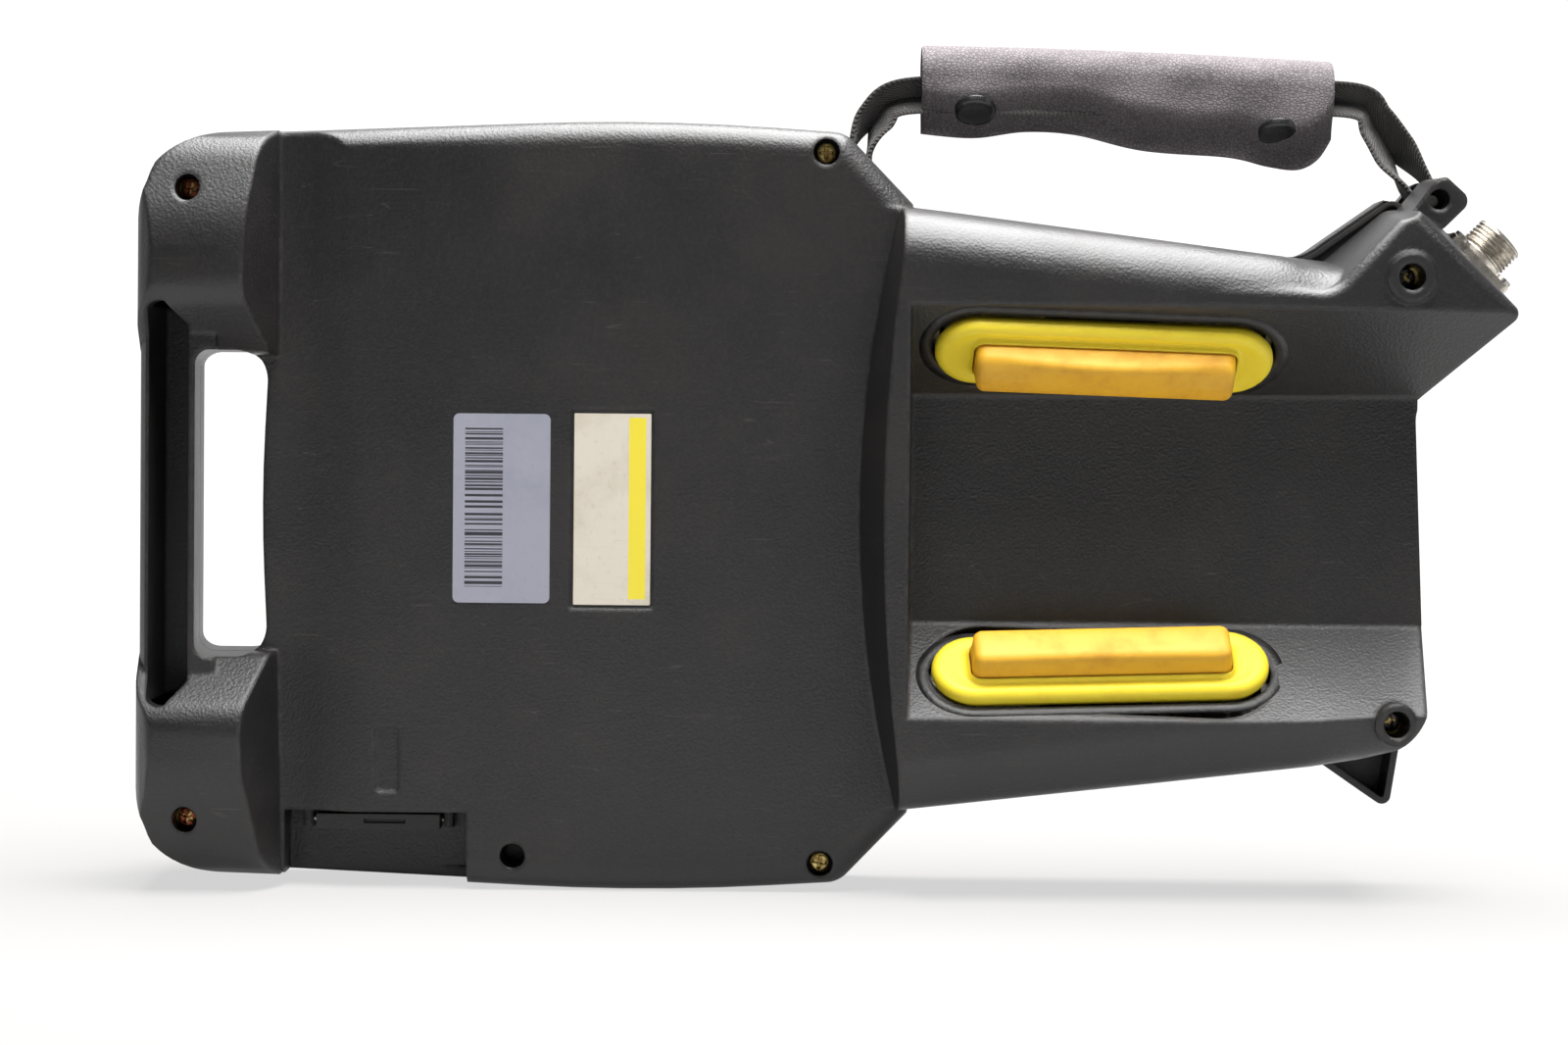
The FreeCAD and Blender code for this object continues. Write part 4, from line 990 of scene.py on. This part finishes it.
def rounding(half_x: float, half_y: float, corner: float, top: float, radius: float,
             steps: int = 9) -> list[tuple[float, float, float, float]]:
    """Rings of a rounded upper edge, from its side to its top."""
    rings = []
    for turn in np.linspace(0, math.pi / 2, steps):
        inset = radius * (1 - math.cos(turn))
        rings.append((half_x - inset, half_y - inset, max(corner - inset, 0.3),
                      top - radius * (1 - math.sin(turn))))
    return rings


@dataclass
class Boot(SlopePiece):
    """Pill-shaped rim with a rounded shoulder, a shallow dish and a lip round the bar."""

    cap: bool = False
    half_x: float = 44.5
    half_y: float = 11.3
    rim: float = 4.0

    def rings(self) -> list[tuple[float, float, float, float]]:
        """Undercut foot, shoulder, dish and lip."""
        foot = [(self.half_x - inset, self.half_y - inset, 11.3, height)
                for inset, height in ((1.2, -1.5), (0.6, 0.0), (0.0, 0.7))]
        shoulder = rounding(self.half_x, self.half_y, 11.3, self.rim, 2.4)
        dish = [(40.6, 8.3, 8.0, 3.95), (39.0, 7.9, 7.2, 3.7), (37.2, 7.5, 6.0, 3.55), (35.9, 7.1, 4.6, 3.6)]
        lip = [(35.3, 6.9, 3.6, 3.9), (34.95, 6.7, 3.3, 4.4), (34.8, 6.55, 3.1, 5.0), (34.65, 6.4, 3.0, 5.2),
               (34.45, 6.25, 2.9, 4.9), (34.4, 6.2, 2.8, 2.0)]
        return foot + shoulder + dish + lip


@dataclass
class BarGrip(SlopePiece):
    """Bar that the fingers press: straight sides, rounded crown, bowed upper edge."""

    bow: float = 0.0
    top: float = 11.8

    def rings(self) -> list[tuple[float, float, float, float]]:
        """Foot inside the boot, straight sides, rounded crown closed to its middle."""
        sides = [(34.1, 5.9, 2.6, z) for z in (0.6, 3.0, 5.0)]
        crown = rounding(33.7, 5.6, 2.6, self.top, 1.9)
        closing = [(31.0, 3.0, 1.2, self.top + 0.12), (24.0, 1.2, 0.6, self.top + 0.15)]
        return sides + crown + closing

    def shaped(self, grid: np.ndarray) -> np.ndarray:
        """Bow the side towards the crest out in an arch, most at the crown."""
        rise = np.clip((grid[..., 2] - 4.0) / (self.top - 4.0), 0, 1)
        arch = 1 - np.clip(np.abs(grid[..., 0]) / 27.0, 0, 1) ** 2
        outer = np.clip(-self.toward() * grid[..., 1] / 5.6, 0, 1)
        dent = self.bow * (1 - arch) * rise * outer
        grid = grid.copy()
        grid[..., 2] -= dent * 0.9
        return grid

    def toward(self) -> float:
        """Sign of the across direction that leads to the valley's floor."""
        axes, _ = self.slope()
        return math.copysign(1.0, axes[1][1])


@dataclass
class Seat(SlopePiece):
    """Flush band of housing that closes the slope in to the boot's foot."""

    cap: bool = False

    def rings(self) -> list[tuple[float, float, float, float]]:
        """Outer edge just over the slope, inner edge turned down beside the boot."""
        runs = ((48.6, 15.1, -0.3), (48.6, 15.1, 0.04), (45.9, 12.6, 0.06), (45.3, 12.0, -0.1),
                (45.1, 11.8, -1.6))
        return [(half_x, half_y, half_y, height) for half_x, half_y, height in runs]


@dataclass
class Strap:
    """Woven loop round two pins, leaning over where it nears the pad."""

    middle_y: float = 6.4
    width: float = 12.0
    thick: float = 1.7
    eye: float = 2.55
    left_pin: tuple[float, float] = (7.0, 90.6)
    right_pin: tuple[float, float] = (158.9, 83.0)
    twist: float = 30.0
    outer_run: list[tuple[float, float]] = field(default_factory=lambda: [
        (162.5, 83.4), (161.5, 88.6), (154.5, 97.5), (147.5, 106.5), (140.5, 112.2), (112, 112.4),
        (52, 112.4), (19.5, 112.4), (9.5, 105.8), (4.9, 97.5), (4.4, 91.5)])
    inner_run: list[tuple[float, float]] = field(default_factory=lambda: [
        (9.6, 91.5), (10.0, 96.5), (13.0, 103.8), (19.5, 109.2), (52, 109.4), (112, 109.4),
        (140.5, 109.2), (145.5, 102.5), (150.0, 94.5), (155.0, 87.0), (157.4, 83.2)])

    def eye_points(self, pin: tuple[float, float]) -> list[tuple[float, float]]:
        """Points of the half turn under a pin, from its left to its right side."""
        turns = [math.radians(a) for a in (200, 235, 270, 305, 340)]
        return [(pin[0] + self.eye * math.cos(a), pin[1] + self.eye * math.sin(a)) for a in turns]

    def webbing(self) -> Piece:
        """Carry a rounded-rectangle section along the closed loop.

        The section is a superellipse of half sizes w and t: w times the cosine to the
        power 0.35, and t times the sine to the power 0.6, each with its sign.
        """
        loop = self.eye_points(self.left_pin) + self.inner_run
        loop = loop + self.eye_points(self.right_pin) + self.outer_run
        line = smooth_line(loop, 900, closed=True)
        ahead = np.roll(line, -1, 0) - np.roll(line, 1, 0)
        ahead /= np.linalg.norm(ahead, axis=1, keepdims=True)
        side = np.stack([-ahead[:, 1], ahead[:, 0]], -1)
        angle = np.linspace(0, 2 * math.pi, 28, endpoint=False)
        across = self.width / 2 * np.sign(np.cos(angle)) * np.abs(np.cos(angle)) ** 0.35
        lift = self.thick / 2 * np.sign(np.sin(angle)) * np.abs(np.sin(angle)) ** 0.6
        x = line[:, None, 0] + side[:, None, 0] * lift
        h = line[:, None, 1] + side[:, None, 1] * lift
        to_pin = np.minimum(np.hypot(*(line - self.left_pin).T), np.hypot(*(line - self.right_pin).T))
        lean = np.radians(self.twist) * smooth_step(to_pin, 5, 17)[:, None]
        x = x + side[:, None, 0] * across * np.sin(lean)
        h = h + side[:, None, 1] * across * np.sin(lean)
        y = self.middle_y + across * np.cos(lean)
        points = place(x, y, h)
        piece = surface("strap_band", points, wrap_rows=True, wrap_columns=True)
        length = np.linalg.norm(np.diff(line, axis=0), axis=1).mean() * MM
        along = np.repeat(np.arange(len(line)) * length, len(angle))
        give_uv(piece, *self.match(piece, points, along, np.tile(across * MM, len(line))))
        return stand_in(piece, Body.CASE, Palette.webbing, "strap_webbing")

    def match(self, piece: Piece, points: np.ndarray, along: np.ndarray,
              across: np.ndarray) -> tuple[np.ndarray, np.ndarray]:
        """Reorder two values per grid point to the welded mesh's points."""
        old = np.round(points.reshape(-1, 3) / WELD).astype(np.int64)
        new = np.round(point_array(piece.data) / WELD).astype(np.int64)
        order = np.lexsort(old.T)
        rank = np.lexsort(new.T)
        index = np.empty(len(new), int)
        index[rank] = order[:len(new)]
        return along[index], across[index]


@dataclass
class StrapPad:
    """Leatherette folded over the webbing and pinched together below it.

    Across the pad the section is a U: a half circle of radius bulge at the fold,
    walls that far from the middle, and a smooth pinch down to the snapped edges.
    """

    middle_y: float = 6.4
    bulge: float = 7.4
    pinched: float = 1.5
    pinch: float = 12.5
    thick: float = 1.1
    left: float = 23.6
    right: float = 134.6
    snap_reach: float = 5.3
    snap_lean: float = 50.0
    snap_spots: tuple = ((38.0, 107.0), (119.8, 101.6))
    fold: list[tuple[float, float]] = field(default_factory=lambda: [
        (23.6, 124.4), (60, 123.9), (100, 122.6), (134.6, 121.0)])
    hem: list[tuple[float, float]] = field(default_factory=lambda: [
        (23.6, 101.2), (38, 100.2), (52, 102.0), (66, 101.2), (84, 97.2), (107, 95.6), (118, 93.2),
        (126, 92.4), (131, 95.0), (134.6, 100.5)])

    def grid(self) -> tuple[np.ndarray, np.ndarray]:
        """Mid surface and its inward directions, stations by section points by three."""
        x = np.linspace(self.left, self.right, 170)
        top = np.interp(x, *zip(*smooth_line(self.fold, 80)))[:, None]
        low = np.interp(x, *zip(*smooth_line(self.hem, 200)))[:, None]
        v = np.linspace(-1, 1, 121)[None, :]
        h = low + (top - low) * np.sin(math.pi / 2 * (1 - np.abs(v)))
        under = np.clip((top - h) / self.bulge, 0, 1)
        round_top = self.bulge * np.sqrt(np.clip(1 - (1 - under) ** 2, 0, 1))
        share = np.clip((h - low) / self.pinch, 0, 1)
        walls = self.pinched + (self.bulge - self.pinched) * smooth_step(h - low, 0, self.pinch)
        half = np.minimum(round_top, walls)
        slack = 0.35 * np.sin(x[:, None] / 7.0 + h / 5.0) + 0.25 * np.sin(x[:, None] / 3.7 - h / 4.0)
        y = self.middle_y + np.sign(v) * (half + slack * share * np.clip(under * 2, 0, 1))
        points = np.stack(np.broadcast_arrays(x[:, None], y, h), -1)
        along = np.gradient(points, axis=1)[..., 1:]
        along /= np.linalg.norm(along, axis=2, keepdims=True) + 1e-9
        inward = np.stack([0 * y, -along[..., 1], along[..., 0]], -1)
        return points, inward

    def build(self, webbing: Piece) -> list[Piece]:
        """Give the mid surface its thickness, close its edges, and snap it shut."""
        points, inward = self.grid()
        middle = points.mean((0, 1))
        if ((middle - points[80, 30]) * inward[80, 30]).sum() < 0:
            inward = -inward
        station = np.linspace(0, 1, len(points))
        from_end = np.clip(1 - np.minimum(station, 1 - station) * 120, 0, 1)
        edge = np.sqrt(np.clip(1 - from_end ** 2, 0, 1))
        layer = inward * (self.thick / 2 * edge)[:, None, None]
        both = np.concatenate([points - layer, (points + layer)[:, ::-1]], axis=1)
        world = place(both[..., 0], both[..., 1], both[..., 2])
        pad = surface("strap_pad_wrap", world, wrap_columns=True, crease=80.0)
        stand_in(pad, Body.PAD, Palette.leather, "strap_pad")
        spots = [(x, h, side) for side in (-1, 1) for x, h in self.snap_spots]
        snaps = [self.snap(f"snap_{number}", *spot) for number, spot in enumerate(spots)]
        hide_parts("pad_snaps")
        return [pad, *snaps]

    def snap(self, name: str, x: float, h: float, side: int) -> Piece:
        """Domed cap pressed into the flap: flat crown, rounded edge, sunk foot."""
        profile = [(0, 1.7), (2.6, 1.62), (4.2, 1.35), (5.1, 0.9), (5.4, 0.3), (5.3, -0.6), (0, -0.8)]
        line = smooth_line(profile, 40)
        angle = np.linspace(0, 2 * math.pi, 64, endpoint=False)
        lean = math.radians(self.snap_lean)
        out = np.array([0, side * math.cos(lean), -math.sin(lean)])
        level = np.array([1.0, 0, 0])
        up = np.cross(level, out)
        base = np.array([x, self.middle_y + side * self.snap_reach, h])
        spokes = np.cos(angle)[None, :, None] * level + np.sin(angle)[None, :, None] * up
        grid = base + line[:, 0][:, None, None] * spokes + line[:, 1][:, None, None] * out
        piece = surface(name, place(grid[..., 0], grid[..., 1], grid[..., 2]), wrap_columns=True, crease=50.0)
        Palette.cap.on(piece)
        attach(piece, Body.PAD)
        return piece


@dataclass
class CrossScrew:
    """Pan head with a cross recess, facing the rear."""

    radius: float = 2.7
    dome: float = 0.55
    arm_width: float = 0.42
    arm_length: float = 1.75
    recess: float = 0.95

    def build(self, number: int, x: float, h: float, seat: float, finish: Finish) -> Piece:
        """Polar grid whose height is the dome less the recess."""
        r = np.linspace(0, 1, 60)[:, None] ** 0.9
        angle = np.linspace(0, 2 * math.pi, 144, endpoint=False)[None, :]
        turned = angle + 0.5 + 0.7 * number
        u, w = self.radius * r * np.cos(turned), self.radius * r * np.sin(turned)
        arm = np.minimum(np.maximum(np.abs(u) / self.arm_width, np.abs(w) / self.arm_length),
                         np.maximum(np.abs(w) / self.arm_width, np.abs(u) / self.arm_length))
        sunk = self.recess * np.clip((1.12 - arm) / 0.3, 0, 1)
        shoulder = self.dome * np.sqrt(np.clip(1 - np.clip((r - 0.55) / 0.45, 0, 1) ** 2, 0, 1))
        lift = shoulder - sunk
        y = seat - 0.25 - lift
        grid = place(x + self.radius * r * np.cos(angle), y, h + self.radius * r * np.sin(angle))
        foot = place(x + self.radius * np.cos(angle), seat + 0.2 + 0 * angle,
                     h + self.radius * np.sin(angle))
        piece = surface(f"screw_{number}", np.concatenate([grid, foot]), wrap_columns=True, crease=35.0)
        return stand_in(piece, Body.CASE, finish)


HEADS_Y = -15.9      # every screw head reaches behind this
DEEP_HEADS_Y = -20.0  # and the heads in lobes and rails behind this
HEAD_CELL = 12.0     # coarser than a head, finer than the gaps between them
HEAD_APART = 4.0     # two finds nearer than this are one head


def cover_screws() -> list[Piece]:
    """One cross-recessed head on each screw of the rear cover, where the frame has them."""
    points = point_array(frame["nodes"]["cover_screws"].data) / MM
    heads = points[points[:, 1] < HEADS_Y]
    cells = np.round(heads[:, [0, 2]] / HEAD_CELL).astype(int)
    made = []
    for number, cell in enumerate(np.unique(cells, axis=0)):
        near = heads[(np.abs(cells - cell) <= 1).all(1)]
        low, high = near.min(0), near.max(0)
        x, h = (low[0] + high[0]) / 2, (low[2] + high[2]) / 2 - MID_Z
        if any(math.hypot(x - a, h - b) < HEAD_APART for a, b, _ in made):
            continue
        finish = Palette.zinc
        if low[1] < DEEP_HEADS_Y:
            finish = Palette.zinc_red if x < 0 else Palette.steel_dark
        step_x, step_h = DRAFT.shift(x, low[1], h)
        made.append((x, h, CrossScrew().build(number, x + step_x, h + step_h, low[1], finish)))
    return [piece for _, _, piece in made]


@dataclass
class ThreadedBarrel:
    """Receptacle barrel: collar, groove, and a helical thread with a chamfered end.

    The thread's depth is a rounded triangle wave of the height along the axis less
    the turn round it, so that the crest climbs one pitch in each turn.
    """

    pitch: float = 1.15
    depth: float = 0.62
    bore: float = 5.6
    thread_start: float = 3.3
    groove_at: float = 2.7
    groove_half: float = 0.45
    groove_depth: float = 0.8
    chamfer: float = 0.6

    def axes(self) -> tuple[np.ndarray, np.ndarray, float, float]:
        """Start and direction of the barrel's axis, its radius and its reach."""
        mount = next(m for m in frame["record"]["mounts"] if m["name"] == "cable_receptacle")
        axis = np.array(mount["axis"], float)
        length = mount["dims"]["length_mm"]
        start = np.array(mount["pos_m"], float) / MM - axis * length / 2
        start += (SOCKET_STEP[0], 0, SOCKET_STEP[1])
        return start, axis / np.linalg.norm(axis), mount["dims"]["r_mm"], length

    def build(self) -> Piece:
        """Turn the profile round the axis and let the thread climb it."""
        start, axis, radius, length = self.axes()
        turn = np.linspace(0, 2 * math.pi, 120, endpoint=False)[None, :]
        z = np.linspace(0, length, 220)[:, None]
        phase = (z / self.pitch - turn / (2 * math.pi)) % 1.0
        wave = np.abs(phase * 2 - 1) ** 1.4
        threaded = np.clip((z - self.thread_start) / 0.3, 0, 1) * np.clip((length - 0.5 - z) / 0.6, 0, 1)
        groove = self.groove_depth * np.exp(-((z - self.groove_at) / self.groove_half) ** 4)
        chamfer = 0.7 * np.clip((z - length + self.chamfer) / self.chamfer, 0, 1)
        r = radius - self.depth * (1 - wave) * threaded - groove - chamfer
        outer = (z + 0 * turn, r)
        rim = (np.full((1, turn.shape[1]), length), np.full((1, turn.shape[1]), self.bore + 0.25))
        inner_z = np.array([length - 0.3, 2.9])[:, None] + 0 * turn
        inner = (inner_z, np.full_like(inner_z, self.bore))
        height = np.concatenate([outer[0], rim[0], inner[0]])
        reach = np.concatenate([outer[1], rim[1], inner[1]])
        across = np.array([0.0, 1.0, 0.0])
        third = np.cross(axis, across)
        spokes = np.cos(turn)[..., None] * across + np.sin(turn)[..., None] * third
        grid = start + height[..., None] * axis + reach[..., None] * spokes
        piece = surface("socket_barrel", grid * MM, wrap_columns=True, crease=50.0)
        return stand_in(piece, Body.CASE, Palette.nickel, "socket_shell")


def add_studio() -> None:
    """Pale floor and backdrop, soft lamps, and an even white sky."""
    scene = bpy.context.scene
    scene.view_settings.view_transform = "Standard"
    world = bpy.data.worlds.new("studio")
    scene.world = world
    graph = empty_graph(world)
    ray = graph.node("ShaderNodeLightPath", {}).outputs
    shown = graph.math("MAXIMUM", ray["Is Camera Ray"], ray["Is Transmission Ray"])
    strength = graph.scaled(shown, 0.95, 0.05)
    sky = graph.node("ShaderNodeBackground", {"Color": (1, 1, 1, 1), "Strength": strength})
    graph.node("ShaderNodeOutputWorld", {"Surface": sky.outputs[0]})
    floor_sheet()
    for lamp in LAMPS:
        lamp.build()


def floor_sheet() -> Piece:
    """Floor that sweeps up into a backdrop behind the object.

    The sheet runs level from the front, follows a quarter circle, and stands up.
    """
    radius = 0.6
    back = 1.0
    turn = np.linspace(0, math.pi / 2, 24)
    y = np.concatenate([[-4.0], back + radius * np.sin(turn), [back + radius]])
    z = np.concatenate([[0.0], radius * (1 - np.cos(turn)), [3.5]])
    x = np.linspace(-4.0, 4.0, 9)
    points = np.stack(np.broadcast_arrays(x[None, :], y[:, None], z[:, None]), -1)
    rows, columns = points.shape[:2]
    sheet = new_mesh("floor", points.reshape(-1, 3), grid_faces(rows, columns, False, False)[:, ::-1], 60)
    material = bpy.data.materials.new("floor_white")
    graph = empty_graph(material)
    ray = graph.node("ShaderNodeLightPath", {}).outputs
    shown = graph.math("MAXIMUM", ray["Is Camera Ray"], ray["Is Transmission Ray"])
    shown = graph.math("MAXIMUM", shown, graph.times(ray["Is Glossy Ray"], 0.6))
    tone = graph.mix(ray["Is Camera Ray"], (0.3, 0.3, 0.3, 1), (0.1, 0.096, 0.094, 1))
    matt = graph.node("ShaderNodeBsdfDiffuse", {"Color": tone})
    where = graph.node("ShaderNodeTexCoord", {}).outputs["Object"]
    depth = graph.node("ShaderNodeSeparateXYZ", {0: where}).outputs[1]
    level = graph.span(depth, 0.1, 0.8, 0.64, 1.0)
    glow = graph.node("ShaderNodeEmission", {"Color": (1, 1, 1, 1),
                                             "Strength": graph.times(shown, level)})
    both = graph.node("ShaderNodeAddShader", {0: matt.outputs[0], 1: glow.outputs[0]})
    graph.node("ShaderNodeOutputMaterial", {"Surface": both.outputs[0]})
    sheet.data.materials.append(material)
    return sheet


@dataclass(frozen=True)
class Softbox:
    """Rectangular lamp that points at a target."""

    name: str
    at: tuple[float, float, float]
    target: tuple[float, float, float]
    size: tuple[float, float]
    watts: float

    def build(self) -> None:
        """Place the lamp and turn it to its target."""
        data = bpy.data.lights.new(self.name, "AREA")
        data.shape = "RECTANGLE"
        data.size, data.size_y = self.size
        data.energy = self.watts
        lamp = bpy.data.objects.new(self.name, data)
        lamp.location = self.at
        lamp.rotation_euler = (Vector(self.target) - Vector(self.at)).to_track_quat("-Z", "Y").to_euler()
        bpy.context.scene.collection.objects.link(lamp)


LAMPS = (
    Softbox("overhead", (0.1, -0.02, 1.05), (0.0, -0.03, 0.1), (1.2, 0.8), 60.0),
    Softbox("front_top", (-0.4, -1.7, 1.7), (0.0, 0.0, 0.1), (1.2, 0.8), 3.0),
    Softbox("side_fill", (1.5, -0.5, 0.5), (0.0, 0.0, 0.1), (0.5, 0.9), 1.5),
)


@dataclass(frozen=True)
class Viewpoint:
    """Camera behind the pendant, a little over its middle, turned slightly down."""

    at: tuple[float, float, float] = (-0.0127, -1.022, 0.1276)
    pitch: float = -1.683
    roll: float = -0.549
    lens: float = 86.91

    def build(self) -> None:
        """Create the camera and make it the scene's own."""
        data = bpy.data.cameras.new("camera")
        data.lens = self.lens
        data.sensor_width = 36.0
        data.clip_end = 20.0
        camera = bpy.data.objects.new("camera", data)
        camera.location = self.at
        turn = (math.radians(90 + self.pitch), math.radians(self.roll), 0.0)
        camera.rotation_euler = Euler(turn, "XYZ")
        bpy.context.scene.collection.objects.link(camera)
        bpy.context.scene.camera = camera


def main() -> None:
    """Build the studio and every piece, and report them."""
    logging.basicConfig(level=logging.INFO)
    add_studio()
    Viewpoint().build()
    made = Housing().build()
    for side, body, bow in (("upper", Body.UPPER_BAR, 2.6), ("lower", Body.LOWER_BAR, 0.6)):
        bar = BarGrip(side, bow=bow)
        made.append(bar.build(f"bar_{side}_grip", body, Palette.bar, "enable_bar_" + side))
        boot = Boot(side)
        made.append(boot.build(f"boot_{side}_rubber", Body.CASE, Palette.boot, "enable_boot_" + side))
        made.append(Seat(side).build(f"boot_{side}_seat", Body.CASE, Palette.shell))
    webbing = Strap().webbing()
    made += [webbing, *StrapPad().build(webbing), *cover_screws(), ThreadedBarrel().build()]
    made.append(merged_copy("socket_screws", Body.CASE, Palette.steel))
    Palette.zinc.on(frame["nodes"]["cover_screws"])
    for piece in made:
        LOG.info("%s: %d faces", piece.name, len(piece.data.polygons))


if __name__ == "__main__":
    main()
